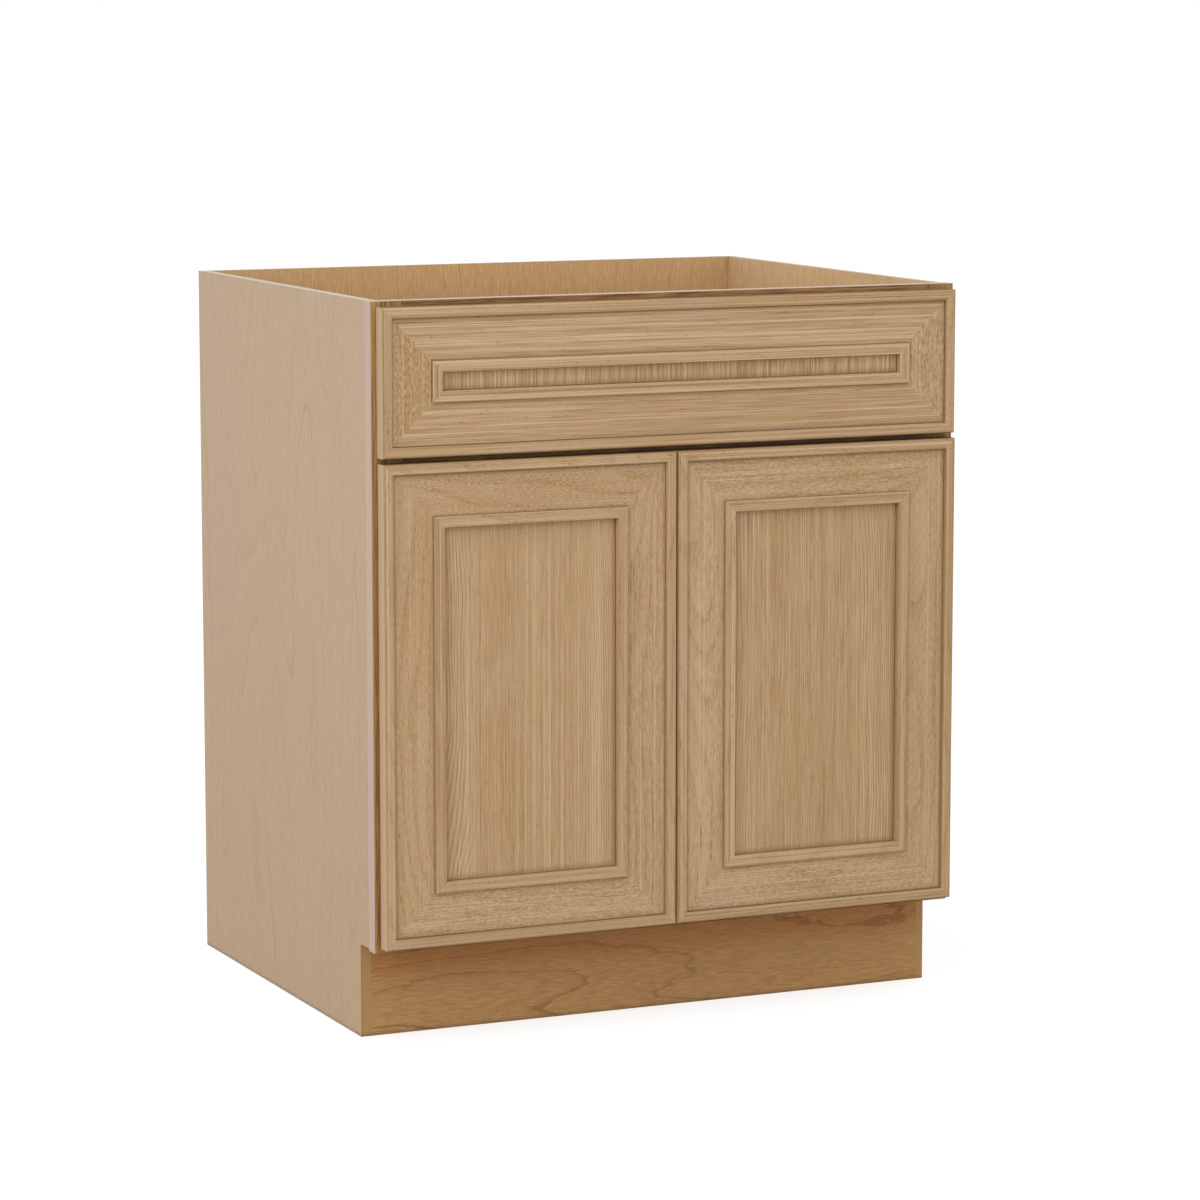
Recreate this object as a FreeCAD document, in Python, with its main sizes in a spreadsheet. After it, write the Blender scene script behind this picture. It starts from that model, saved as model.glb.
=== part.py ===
"""Kitchen base cabinet with a face frame: one full-width drawer over a pair of doors.

The frame is +Z up with the front towards -Y. The origin is on the floor at the middle of the
whole cabinet's footprint, doors included. Lengths are in millimetres.
"""
import FreeCAD, Part
import math
import os
import Sketcher

SIZES = {
    # Whole cabinet
    "cabinet_width": 762.0,
    "cabinet_height": 876.3,
    "case_depth": 603.25,
    # Face frame
    "frame_thickness": 19.05,
    "stile_width": 38.1,
    "rail_width": 38.1,
    "frame_bottom": 111.1,
    "tenon_length": 9.5,
    "tenon_thickness": 9.5,
    "tenon_shoulder": 6.35,
    "side_groove": 6.35,
    # Case boards
    "side_thickness": 9.5,
    "frame_overhang": 4.8,
    "skin_thickness": 3.2,
    "back_thickness": 9.5,
    "deck_thickness": 12.7,
    "deck_groove": 3.2,
    "toe_height": 112.7,
    "toe_setback": 50.8,
    "toe_thickness": 12.7,
    # Corner braces that take the worktop screws
    "brace_leg": 92.0,
    "brace_tip": 22.0,
    "brace_thickness": 15.9,
    "brace_drop": 12.7,
    "brace_hole_radius": 2.75,
    "brace_hole_inset": 32.0,
    # Shelf and its pins
    "shelf_thickness": 15.9,
    "shelf_level": 392.0,
    "shelf_side_gap": 1.5,
    "shelf_setback": 12.7,
    "shelf_rear_gap": 3.2,
    "peg_radius": 2.5,
    "peg_depth": 7.0,
    "peg_reach": 9.0,
    "peg_ledge": 11.0,
    "peg_ledge_thickness": 2.0,
    "peg_hole_extra": 0.6,
    "peg_hole_pitch": 64.0,
    "peg_rows": 3,
    "peg_inset": 70.0,
    # Drawer front and doors
    "front_thickness": 19.05,
    "member_width": 76.2,
    "outer_bead": 12.7,
    "inner_bead": 13.0,
    "bead_step": 4.4,
    "edge_round": 2.0,
    "bead_chamfer": 0.7,
    "panel_recess": 7.9,
    "panel_thickness": 6.35,
    "panel_groove": 9.5,
    "panel_slack": 0.8,
    "reveal": 6.35,
    "fronts_spacing": 6.35,
    "doors_spacing": 2.4,
    "door_gap": 3.2,
    "drawer_gap": 1.0,
    "drawer_front_height": 174.6,
    "bumper_radius": 5.0,
    "bumper_inset": 17.0,
    "seat_gap": 0.3,
    # Drawer box
    "box_top_space": 13.175,
    "box_rear_space": 61.35,
    "box_board": 12.7,
    "box_bottom_thickness": 6.35,
    "box_bottom_rise": 9.5,
    "box_groove": 6.35,
    "tails": 3,
    "pin_share": 0.34,
    "pin_slope_share": 0.16,
    # Roller slides
    "slide_space": 12.7,
    "steel": 1.2,
    "channel_lift": 3.0,
    "channel_width": 10.3,
    "channel_setback": 2.0,
    "channel_tail": 19.6,
    "channel_mouth": 30.0,
    "rivet_clearance": 2.0,
    "runner_flange": 9.2,
    "flange_play": 0.8,
    "box_lift": 8.0,
    "front_roller_radius": 11.0,
    "rear_roller_radius": 10.5,
    "roller_width": 8.0,
    "roller_inset": 14.0,
    "axle_radius": 2.5,
    "axle_head_radius": 4.0,
    "axle_head": 0.8,
    "running_gap": 0.05,
    "socket_wall": 3.0,
    "socket_grip": 15.0,
    # Hinges
    "hinge_end_distance": 88.9,
    "cup_radius": 17.5,
    "cup_depth": 12.3,
    "cup_wall": 0.8,
    "cup_inset": 3.0,
    "cup_fit": 0.05,
    "flange_length": 56.0,
    "flange_width": 27.0,
    "flange_thickness": 1.2,
    "pivot_inset": 7.3,
    "pivot_depth": 8.8,
    "hinge_pin_radius": 1.25,
    "hinge_pin_length": 15.0,
    "cheek_thickness": 1.5,
    "cheek_front": 1.9,
    "cheek_rear": 3.2,
    "cheek_height": 5.5,
    "arm_thickness": 2.5,
    "arm_width": 10.0,
    "arm_bend": 4.0,
    "eye_radius": 2.4,
    "arm_plate_height": 50.0,
    "arm_plate_depth": 17.0,
    "arm_plate_start": 1.5,
    # Length that a cutting shape runs past what it cuts
    "overrun": 2.0,
}


class SheetNames:
    """Gives each size's name as the expressions of the document write it."""

    def __getattr__(self, alias):
        return f"Sizes.{alias}"


document = FreeCAD.newDocument("base_cabinet")
sheet = document.addObject("Spreadsheet::Sheet", "Sizes")
for row, (alias, number) in enumerate(SIZES.items(), start=1):
    sheet.set(f"A{row}", alias)
    sheet.set(f"B{row}", str(number))
    sheet.setAlias(f"B{row}", alias)
document.recompute()

s = SheetNames()
nodes = {}


def value(expression):
    """The number that an expression gives with the sizes of the sheet."""
    return float(sheet.evalExpression(expression))


def keep(name, shape_object):
    """Makes an object a node of the cabinet under its own name."""
    shape_object.Label = name
    nodes[name] = shape_object
    return shape_object


def place(shape_object, x="0", y="0", z="0", axis=None, angle=0):
    """Binds the place of an object, and turns it about an axis through its own origin."""
    if axis:
        turn = FreeCAD.Rotation(FreeCAD.Vector(*axis), angle)
        shape_object.Placement = FreeCAD.Placement(FreeCAD.Vector(), turn)
    for letter, expression in zip("xyz", (x, y, z)):
        if expression != "0":
            shape_object.setExpression(f"Placement.Base.{letter}", expression)
    return shape_object


def box(name, x, y, z):
    """A board from the lower to the upper bound that each of x, y and z gives."""
    board = document.addObject("Part::Box", name)
    for size_name, (low, high) in zip(("Length", "Width", "Height"), (x, y, z)):
        board.setExpression(size_name, f"({high}) - ({low})")
    return place(board, x[0], y[0], z[0])


def cylinder(name, radius, length, x, y, z, axis=None, angle=0):
    """A round bar that starts at the place and runs along its own turned Z axis."""
    bar = document.addObject("Part::Cylinder", name)
    bar.setExpression("Radius", radius)
    bar.setExpression("Height", length)
    return place(bar, x, y, z, axis, angle)


def cut(name, base, *tools):
    """The base with every tool taken away from it, one after the other."""
    for count, tool in enumerate(tools, start=1):
        step = document.addObject("Part::Cut", name if count == len(tools) else f"{name}_{count}")
        step.Base = base
        step.Tool = tool
        base = step
    return base


def fuse(name, *shapes):
    joined = document.addObject("Part::MultiFuse", name)
    joined.Shapes = list(shapes)
    return joined


def group(name, *shapes):
    """Separate solids that share one node."""
    gathered = document.addObject("Part::Compound", name)
    gathered.Links = list(shapes)
    return keep(name, gathered)


def mirrored(name, source):
    """The same piece for the other side of the cabinet."""
    twin = document.addObject("Part::Mirroring", name)
    twin.Source = source
    twin.Normal = FreeCAD.Vector(1, 0, 0)
    return keep(name, twin)


def new_body(name):
    return document.addObject("PartDesign::Body", name)


def new_sketch(body, name, plane, offset=None):
    """An empty sketch on one of the body's own planes, moved along that plane's normal."""
    sketch = body.newObject("Sketcher::SketchObject", name)
    support = next(item for item in body.Origin.OriginFeatures if item.Role == plane)
    sketch.AttachmentSupport = [(support, "")]
    sketch.MapMode = "FlatFace"
    if offset:
        sketch.setExpression("AttachmentOffset.Base.z", offset)
    return sketch


def fix_point(sketch, geometry, position, point):
    """Holds a point of a sketch at the two expressions of its place."""
    for kind, line, expression in (("DistanceX", -2, point[0]), ("DistanceY", -1, point[1])):
        number = value(expression)
        if expression == "0":
            sketch.addConstraint(Sketcher.Constraint("PointOnObject", geometry, position, line))
            continue
        held = Sketcher.Constraint(kind, -1, 1, geometry, position, number)
        sketch.setExpression(f"Constraints[{sketch.addConstraint(held)}]", expression)


def outline(sketch, *points):
    """A closed outline of straight lines through points that are pairs of expressions."""
    corners = [FreeCAD.Vector(value(x), value(y), 0) for x, y in points]
    first = sketch.GeometryCount
    count = len(points)
    for index in range(count):
        sketch.addGeometry(Part.LineSegment(corners[index], corners[(index + 1) % count]))
    for index in range(count):
        following = first + (index + 1) % count
        sketch.addConstraint(Sketcher.Constraint("Coincident", first + index, 2, following, 1))
    for index, point in enumerate(points):
        fix_point(sketch, first + index, 1, point)


def circle(sketch, point, radius):
    middle = FreeCAD.Vector(value(point[0]), value(point[1]), 0)
    ring = sketch.addGeometry(Part.Circle(middle, FreeCAD.Vector(0, 0, 1), value(radius)))
    fix_point(sketch, ring, 3, point)
    held = sketch.addConstraint(Sketcher.Constraint("Radius", ring, value(radius)))
    sketch.setExpression(f"Constraints[{held}]", radius)


def grow(body, sketch, length, side="One side", reverse=False):
    """Pads a sketch, along its plane's normal unless reversed."""
    pad = body.newObject("PartDesign::Pad", f"{sketch.Name}_pad")
    pad.Profile = sketch
    pad.SideType = side
    pad.Reversed = reverse
    pad.setExpression("Length", length)
    return pad


def carve(body, sketch, length, side="One side", reverse=False):
    """Pockets a sketch, against its plane's normal unless reversed, and checks that it cuts."""
    document.recompute()
    before = body.Shape.Volume
    pocket = body.newObject("PartDesign::Pocket", f"{sketch.Name}_pocket")
    pocket.Profile = sketch
    pocket.SideType = side
    pocket.Reversed = reverse
    pocket.setExpression("Length", length)
    document.recompute()
    if not body.Shape.Volume < before:
        raise RuntimeError(f"{sketch.Name} cuts nothing")
    return pocket


def repeat(body, feature, axis, spacing, count):
    """Repeats a feature along one of the body's own axes."""
    pattern = body.newObject("PartDesign::LinearPattern", f"{feature.Name}_pattern")
    pattern.Originals = [feature]
    direction = next(item for item in body.Origin.OriginFeatures if item.Role == axis)
    pattern.Direction = (direction, [""])
    pattern.Mode = "Spacing"
    pattern.setExpression("Offset", spacing)
    pattern.setExpression("Occurrences", count)
    body.Tip = pattern
    return pattern


def ease_edges(body, feature, kind, size, places, along):
    """Eases the straight edges that run along one axis through the given cross places."""
    document.recompute()
    across = [index for index in range(3) if index != along]
    near = 1e-4
    found = []
    for number, edge in enumerate(feature.Shape.Edges, start=1):
        direction = edge.Vertexes[-1].Point - edge.Vertexes[0].Point
        if abs(abs(direction[along]) - direction.Length) > near:
            continue
        middle = edge.CenterOfMass
        for point in places:
            if all(abs(middle[index] - point[order]) < near for order, index in enumerate(across)):
                found.append(f"Edge{number}")
    eased = body.newObject(f"PartDesign::{kind}", f"{feature.Name}_eased")
    eased.Base = (feature, found)
    eased.setExpression("Radius" if kind == "Fillet" else "Size", size)
    return eased


# Places that several pieces share
half_width = f"({s.cabinet_width} / 2)"
front = f"(({s.front_thickness} + {s.door_gap} - {s.case_depth}) / 2)"
rear = f"({front} + {s.case_depth})"
frame_rear = f"({front} + {s.frame_thickness})"
back_front = f"({rear} - {s.back_thickness})"
inner_half = f"({half_width} - {s.frame_overhang} - {s.side_thickness})"
opening_half = f"({half_width} - {s.stile_width})"
deck_top = f"({s.frame_bottom} + {s.rail_width})"
deck_under = f"({deck_top} - {s.deck_thickness})"
drawer_front_top = f"({s.cabinet_height} - {s.reveal})"
drawer_front_bottom = f"({drawer_front_top} - {s.drawer_front_height})"
door_top = f"({drawer_front_bottom} - {s.fronts_spacing})"
door_bottom = f"({s.frame_bottom} + {s.reveal})"
door_height = f"({door_top} - {door_bottom})"
door_width = f"({half_width} - {s.reveal} - {s.doors_spacing} / 2)"
middle_rail_bottom = f"(({drawer_front_bottom} + {door_top} - {s.rail_width}) / 2)"
middle_rail_top = f"({middle_rail_bottom} + {s.rail_width})"
top_rail_bottom = f"({s.cabinet_height} - {s.rail_width})"
door_front = f"({front} - {s.door_gap} - {s.front_thickness})"
drawer_front_face = f"({front} - {s.drawer_gap} - {s.front_thickness})"


def rail_tenon(name, bottom, sign):
    """The tenon of a rail, which is also the shape of its mortise."""
    reach = [f"{sign} * {opening_half}", f"{sign} * ({opening_half} + {s.tenon_length})"]
    if sign < 0:
        reach.reverse()
    setback = f"({front} + ({s.frame_thickness} - {s.tenon_thickness}) / 2)"
    return box(
        name,
        reach,
        (setback, f"{setback} + {s.tenon_thickness}"),
        (f"{bottom} + {s.tenon_shoulder}", f"{bottom} + {s.rail_width} - {s.tenon_shoulder}"),
    )


def face_frame():
    """Two stiles and three rails with stub tenons, grooved behind for the case sides."""
    rails = {
        "bottom": s.frame_bottom,
        "middle": middle_rail_bottom,
        "top": top_rail_bottom,
    }
    for name, bottom in rails.items():
        bar = box(
            f"{name}_rail_bar",
            (f"-{opening_half}", opening_half),
            (front, frame_rear),
            (bottom, f"{bottom} + {s.rail_width}"),
        )
        tenons = [rail_tenon(f"{name}_tenon_{side}", bottom, sign)
                  for side, sign in (("left", -1), ("right", 1))]
        keep(f"frame_{name}_rail", fuse(f"frame_{name}_rail", bar, *tenons))
    stile = box(
        "stile_bar",
        (f"-{half_width}", f"-{opening_half}"),
        (front, frame_rear),
        (s.frame_bottom, s.cabinet_height),
    )
    mortises = [rail_tenon(f"{name}_mortise", bottom, -1) for name, bottom in rails.items()]
    side_outer = f"({inner_half} + {s.side_thickness})"
    groove = box(
        "stile_groove",
        (f"-{side_outer}", f"-{inner_half}"),
        (f"{frame_rear} - {s.side_groove}", f"{frame_rear} + {s.overrun}"),
        (f"{s.frame_bottom} - {s.overrun}", f"{s.cabinet_height} + {s.overrun}"),
    )
    left = keep("frame_stile_left", cut("frame_stile_left", stile, groove, *mortises))
    mirrored("frame_stile_right", left)


def side_outline(body, name, front_edge):
    """The shape of a case side with its toe notch, seen from the right."""
    sketch = new_sketch(body, name, "YZ_Plane")
    notch = f"{front} + {s.toe_setback}"
    outline(
        sketch,
        (notch, "0"),
        (rear, "0"),
        (rear, s.cabinet_height),
        (front_edge, s.cabinet_height),
        (front_edge, s.toe_height),
        (notch, s.toe_height),
    )
    return sketch


def peg_columns():
    """The two places along the depth where pegs carry the shelf."""
    shelf_front = f"{frame_rear} + {s.shelf_setback}"
    shelf_rear = f"{back_front} - {s.shelf_rear_gap}"
    return f"({shelf_front} + {s.peg_inset})", f"({shelf_rear} - {s.peg_inset})"


peg_level = f"({s.shelf_level} - {s.peg_radius})"


def case_sides():
    """The case sides, grooved for the deck and bored for the shelf pegs, and the end skin."""
    board = new_body("side_panel_left")
    sketch = side_outline(board, "side_shape", f"{frame_rear} - {s.side_groove}")
    grow(board, sketch, s.side_thickness)
    dado = new_sketch(board, "deck_dado", "YZ_Plane", s.side_thickness)
    outline(
        dado,
        (frame_rear, deck_under),
        (f"{back_front}", deck_under),
        (f"{back_front}", deck_top),
        (frame_rear, deck_top),
    )
    carve(board, dado, s.deck_groove)
    holes = new_sketch(board, "peg_holes", "YZ_Plane", s.side_thickness)
    lowest = f"({peg_level} - floor({s.peg_rows} / 2) * {s.peg_hole_pitch})"
    for column in peg_columns():
        circle(holes, (column, lowest), s.peg_radius)
    bored = carve(board, holes, f"{s.peg_depth} + {s.peg_hole_extra}")
    repeat(board, bored, "Z_Axis", s.peg_hole_pitch, s.peg_rows)
    place(board, f"-{inner_half} - {s.side_thickness}")
    keep("side_panel_left", board)
    mirrored("side_panel_right", board)
    skin = new_body("finished_end")
    grow(skin, side_outline(skin, "skin_shape", frame_rear), s.skin_thickness)
    place(skin, f"-{inner_half} - {s.side_thickness} - {s.skin_thickness}")
    keep("finished_end", skin)


def case_boards():
    """The deck, back and toe board between the sides."""
    across = (f"-{inner_half}", inner_half)
    keep("back_panel", box("back_panel", across, (back_front, rear), ("0", s.cabinet_height)))
    grooved = f"({inner_half} + {s.deck_groove})"
    deck_depth = (frame_rear, back_front)
    keep("bottom_panel",
         box("bottom_panel", (f"-{grooved}", grooved), deck_depth, (deck_under, deck_top)))
    toe_front = f"({front} + {s.toe_setback})"
    toe_depth = (toe_front, f"{toe_front} + {s.toe_thickness}")
    keep("toe_board", box("toe_board", across, toe_depth, ("0", deck_under)))


def corner_braces():
    """Flat braces in the two front corners, each with a hole for a worktop screw."""
    brace = new_body("corner_brace_left")
    shape = new_sketch(brace, "brace_shape", "XY_Plane")
    outline(
        shape,
        ("0", "0"),
        (s.brace_leg, "0"),
        (s.brace_leg, s.brace_tip),
        (s.brace_tip, s.brace_leg),
        ("0", s.brace_leg),
    )
    grow(brace, shape, s.brace_thickness)
    hole = new_sketch(brace, "brace_hole", "XY_Plane")
    circle(hole, (s.brace_hole_inset, s.brace_hole_inset), s.brace_hole_radius)
    carve(brace, hole, f"{s.brace_thickness} + {s.overrun}", reverse=True)
    brace_bottom = f"{s.cabinet_height} - {s.brace_drop} - {s.brace_thickness}"
    place(brace, f"-{inner_half}", frame_rear, brace_bottom)
    keep("corner_brace_left", brace)
    mirrored("corner_brace_right", brace)


def shelf_with_pegs():
    """The adjustable shelf and the four pegs that it lies on."""
    edge = f"({inner_half} - {s.shelf_side_gap})"
    keep("adjustable_shelf", box(
        "adjustable_shelf",
        (f"-{edge}", edge),
        (f"{frame_rear} + {s.shelf_setback}", f"{back_front} - {s.shelf_rear_gap}"),
        (s.shelf_level, f"{s.shelf_level} + {s.shelf_thickness}"),
    ))
    pegs = []
    for side, sign in (("left", -1), ("right", 1)):
        for end, column in zip(("front", "rear"), peg_columns()):
            name = f"{side}_{end}_peg"
            sunk = f"{sign} * ({inner_half} + {s.peg_depth})"
            stud = cylinder(f"{name}_stud", s.peg_radius, f"{s.peg_depth} + {s.peg_reach}",
                            sunk, column, peg_level, (0, 1, 0), -sign * 90)
            inward = [f"{sign} * ({inner_half} - {s.peg_reach})", f"{sign} * {inner_half}"]
            if sign < 0:
                inward.reverse()
            ledge = box(
                f"{name}_ledge",
                inward,
                (f"{column} - {s.peg_ledge} / 2", f"{column} + {s.peg_ledge} / 2"),
                (f"{s.shelf_level} - {s.peg_ledge_thickness}", s.shelf_level),
            )
            pegs.append(fuse(name, stud, ledge))
    group("shelf_pegs", *pegs)


def member_profile(body, name):
    """Section of a front's member: outer bead, field, inner bead and the panel's groove."""
    sketch = new_sketch(body, name, "YZ_Plane")
    field_end = f"{s.member_width} - {s.inner_bead}"
    groove_end = f"{s.member_width} - {s.panel_groove}"
    panel_back = f"{s.panel_recess} + {s.panel_thickness}"
    outline(
        sketch,
        ("0", "0"),
        ("0", s.outer_bead),
        (s.bead_step, s.outer_bead),
        (s.bead_step, field_end),
        ("0", field_end),
        ("0", s.member_width),
        (s.panel_recess, s.member_width),
        (s.panel_recess, groove_end),
        (panel_back, groove_end),
        (panel_back, s.member_width),
        (s.front_thickness, s.member_width),
        (s.front_thickness, "0"),
    )
    return sketch


def front_member(name, length, x, y, z, angle, bored=False):
    """One mitred member of a front, lying along X with its outer edge down before it turns."""
    body = new_body(name)
    bar = grow(body, member_profile(body, f"{name}_section"), length, "Symmetric")
    bead_edges = [(0, value(place_up)) for place_up in
                  (s.outer_bead, f"{s.member_width} - {s.inner_bead}", s.member_width)]
    rounded = ease_edges(body, bar, "Fillet", s.edge_round, [(0, 0)], along=0)
    ease_edges(body, rounded, "Chamfer", s.bead_chamfer, bead_edges, along=0)
    mitres = new_sketch(body, f"{name}_mitres", "XZ_Plane")
    end = f"({length}) / 2"
    for sign in ("-", "+"):
        outside = f"{sign}({end} + {s.overrun})"
        inside = f"{sign}({end} - {s.member_width} - {s.overrun})"
        above = f"{s.member_width} + {s.overrun}"
        outline(mitres, (outside, f"-{s.overrun}"), (inside, above), (outside, above))
    carve(body, mitres, f"2 * ({s.front_thickness} + {s.overrun})", "Symmetric")
    if bored:
        boring = new_sketch(body, f"{name}_boring", "XZ_Plane", f"-{s.front_thickness}")
        for sign in ("-", "+"):
            along = f"{sign}({end} - {s.hinge_end_distance})"
            circle(boring, (along, f"{s.cup_inset} + {s.cup_radius}"), s.cup_radius)
        carve(body, boring, f"{s.cup_depth} + {s.cup_fit}", reverse=True)
    place(body, x, y, z, (0, 1, 0), angle)
    return keep(name, body)


def panelled_front(prefix, left, right, bottom, top, face, hinged=False):
    """Four mitred members round a flat centre panel that is free to move in its groove."""
    width = f"(({right}) - ({left}))"
    height = f"(({top}) - ({bottom}))"
    middle = f"(({left}) + ({right})) / 2"
    mid_height = f"(({bottom}) + ({top})) / 2"
    members = [
        front_member(f"{prefix}_bottom_rail", width, middle, face, bottom, 0),
        front_member(f"{prefix}_top_rail", width, middle, face, top, 180),
        front_member(f"{prefix}_outer_stile", height, left, face, mid_height, 90, hinged),
        front_member(f"{prefix}_inner_stile", height, right, face, mid_height, -90),
    ]
    margin = f"({s.member_width} - {s.panel_groove} + {s.panel_slack})"
    panel_face = f"{face} + {s.panel_recess}"
    panel = keep(f"{prefix}_panel", box(
        f"{prefix}_panel",
        (f"{left} + {margin}", f"{right} - {margin}"),
        (panel_face, f"{panel_face} + {s.panel_thickness}"),
        (f"{bottom} + {margin}", f"{top} - {margin}"),
    ))
    return members + [panel]


def bumpers(name, places, back, gap):
    """Soft pads on the back of a front, which meet the frame when it shuts."""
    pads = [cylinder(f"{name}_{number}", s.bumper_radius, f"{gap} - {s.seat_gap}",
                     x, back, z, (1, 0, 0), -90)
            for number, (x, z) in enumerate(places, start=1)]
    return group(name, *pads)


def fronts():
    """The drawer front and the pair of doors, with their bumpers."""
    edge = f"({half_width} - {s.reveal})"
    panelled_front("drawer_front", f"-{edge}", edge, drawer_front_bottom, drawer_front_top,
                   drawer_front_face)
    door_inner = f"(-{s.doors_spacing} / 2)"
    for piece in panelled_front("door_left", f"-{edge}", door_inner, door_bottom, door_top,
                                door_front, hinged=True):
        mirrored(piece.Label.replace("left", "right"), piece)
    free_edge = f"({door_inner} - {s.bumper_inset})"
    door_places = [(free_edge, f"{door_bottom} + {s.bumper_inset}"),
                   (free_edge, f"{door_top} - {s.bumper_inset} / 2")]
    left = bumpers("door_left_bumpers", door_places, f"({front} - {s.door_gap})", s.door_gap)
    mirrored("door_right_bumpers", left)
    side = f"({edge} - {s.bumper_inset})"
    low = f"{drawer_front_bottom} + {s.bumper_inset} / 2"
    bumpers("drawer_front_bumpers", [(f"-{side}", low), (side, low)],
            f"({front} - {s.drawer_gap})", s.drawer_gap)


# Slides and drawer box
channel_bottom = f"({middle_rail_top} + {s.channel_lift})"
channel_floor = f"({channel_bottom} + {s.steel})"
front_roller_level = f"({channel_floor} + {s.seat_gap} + {s.front_roller_radius})"
rear_roller_level = f"({channel_floor} + {s.seat_gap} + {s.rear_roller_radius})"
flange_under = f"({front_roller_level} + {s.front_roller_radius} + {s.seat_gap})"
channel_ceiling = f"({flange_under} + {s.steel} + {s.flange_play})"
channel_top = f"({channel_ceiling} + {s.steel})"
channel_front = f"({front} + {s.channel_setback})"
web_inner = f"({opening_half} - {s.steel})"
box_half = f"({opening_half} - {s.slide_space})"
box_inner_half = f"({box_half} - {s.box_board})"
box_bottom = f"({channel_floor} + {s.box_lift})"
box_top = f"({top_rail_bottom} - {s.box_top_space})"
box_height = f"({box_top} - {box_bottom})"
box_front = f"({front} - {s.drawer_gap})"
box_rear = f"({back_front} - {s.box_rear_space})"
box_length = f"({box_rear} - {box_front})"
channel_rear = f"({box_rear} + {s.channel_tail})"


def drawer_side():
    """A drawer side with dovetail sockets at both ends and a groove for the bottom."""
    board = new_body("drawer_side_left")
    face = new_sketch(board, "drawer_side_shape", "YZ_Plane")
    outline(face, ("0", "0"), (box_length, "0"), (box_length, box_height),
            ("0", box_height))
    grow(board, face, s.box_board)
    pitch = f"({box_height} / {s.tails})"
    wide = f"({pitch} * {s.pin_share} / 2)"
    narrow = f"({wide} - {s.box_board} * {s.pin_slope_share})"
    sockets = new_sketch(board, "dovetail_sockets", "YZ_Plane")
    for end, sign in (("0", "+"), (box_length, "-")):
        shoulder = f"{end} {sign} {s.box_board}"
        lip = s.overrun
        flare = f"({lip} * {s.pin_slope_share})"
        mouth = f"{end} {'-' if sign == '+' else '+'} {lip}"
        outline(sockets, (mouth, f"-({narrow} - {flare})"), (shoulder, f"-{wide}"),
                (shoulder, wide), (mouth, f"{narrow} - {flare}"))
    first = carve(board, sockets, f"2 * ({s.box_board} + {s.overrun})", "Symmetric")
    repeat(board, first, "Z_Axis", pitch, f"{s.tails} + 1")
    groove = new_sketch(board, "drawer_side_groove", "YZ_Plane", s.box_board)
    groove_front = f"{s.box_board} - {s.box_groove}"
    groove_top = f"{s.box_bottom_rise} + {s.box_bottom_thickness}"
    outline(groove, (groove_front, s.box_bottom_rise),
            (f"{box_length} + {s.overrun}", s.box_bottom_rise),
            (f"{box_length} + {s.overrun}", groove_top), (groove_front, groove_top))
    carve(board, groove, s.box_groove)
    place(board, f"-{box_half}", box_front, box_bottom)
    return keep("drawer_side_left", board)


def drawer_box():
    """Dovetailed sides and ends round a bottom that slides in under the back."""
    left = drawer_side()
    right = mirrored("drawer_side_right", left)
    across = (f"-{box_half}", box_half)
    groove_half = f"({box_inner_half} + {s.box_groove})"
    groove_front = f"({box_front} + {s.box_board} - {s.box_groove})"
    bottom_under = f"({box_bottom} + {s.box_bottom_rise})"
    bottom_top = f"({bottom_under} + {s.box_bottom_thickness})"
    front_block = box("drawer_front_block", across, (box_front, f"{box_front} + {s.box_board}"),
                      (box_bottom, box_top))
    front_groove = box("drawer_front_groove", (f"-{groove_half}", groove_half),
                       (groove_front, f"{box_front} + {s.box_board} + {s.overrun}"),
                       (bottom_under, bottom_top))
    keep("drawer_box_front", cut("drawer_box_front", front_block, left, right, front_groove))
    back_block = box("drawer_back_block", across, (f"{box_rear} - {s.box_board}", box_rear),
                     (bottom_top, box_top))
    keep("drawer_box_back", cut("drawer_box_back", back_block, left, right))
    bottom_half = f"({groove_half} - {s.seat_gap})"
    keep("drawer_bottom", box("drawer_bottom", (f"-{bottom_half}", bottom_half),
                              (f"{groove_front} + {s.seat_gap}", box_rear),
                              (bottom_under, bottom_top)))


def slide_channel():
    """The case's half of a slide: a channel, open at the front above its roller."""
    body = new_body("slide_channel_left")
    section = new_sketch(body, "channel_section", "XZ_Plane")
    height = f"({channel_top} - {channel_bottom})"
    outline(section, ("0", "0"), (s.channel_width, "0"), (s.channel_width, s.steel),
            (s.steel, s.steel), (s.steel, f"{height} - {s.steel}"),
            (s.channel_width, f"{height} - {s.steel}"), (s.channel_width, height),
            ("0", height))
    grow(body, section, f"{channel_rear} - {channel_front}", reverse=True)
    mouth = new_sketch(body, "channel_mouth_shape", "YZ_Plane")
    rivet_top = f"{front_roller_level} - {channel_bottom} + {s.axle_head_radius}"
    cut_level = f"({rivet_top} + {s.rivet_clearance})"
    above = f"({height} + {s.overrun})"
    outline(mouth, (f"-{s.overrun}", cut_level), (s.channel_mouth, cut_level),
            (f"{s.channel_mouth} + {above} - {cut_level}", above), (f"-{s.overrun}", above))
    carve(body, mouth, f"2 * ({s.channel_width} + {s.overrun})", "Symmetric")
    place(body, f"-{opening_half}", channel_front, channel_bottom)
    keep("slide_channel_left", body)
    mirrored("slide_channel_right", body)


def slide_socket():
    """The moulded socket that holds a channel's rear end on the back panel."""
    outer = f"({opening_half} + {s.socket_wall})"
    inner = f"({opening_half} - {s.channel_width} - {s.socket_wall})"
    socket_front = f"({channel_rear} - {s.socket_grip})"
    block = box("socket_block", (f"-{outer}", f"-{inner}"), (socket_front, back_front),
                (f"{channel_bottom} - {s.socket_wall}", f"{channel_top} + {s.socket_wall}"))
    pocket = box("socket_pocket", (f"-{opening_half}", f"-{inner} + {s.overrun}"),
                 (f"{socket_front} - {s.overrun}", channel_rear), (channel_bottom, channel_top))
    left = keep("slide_socket_left", cut("slide_socket_left", block, pocket))
    mirrored("slide_socket_right", left)


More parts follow.
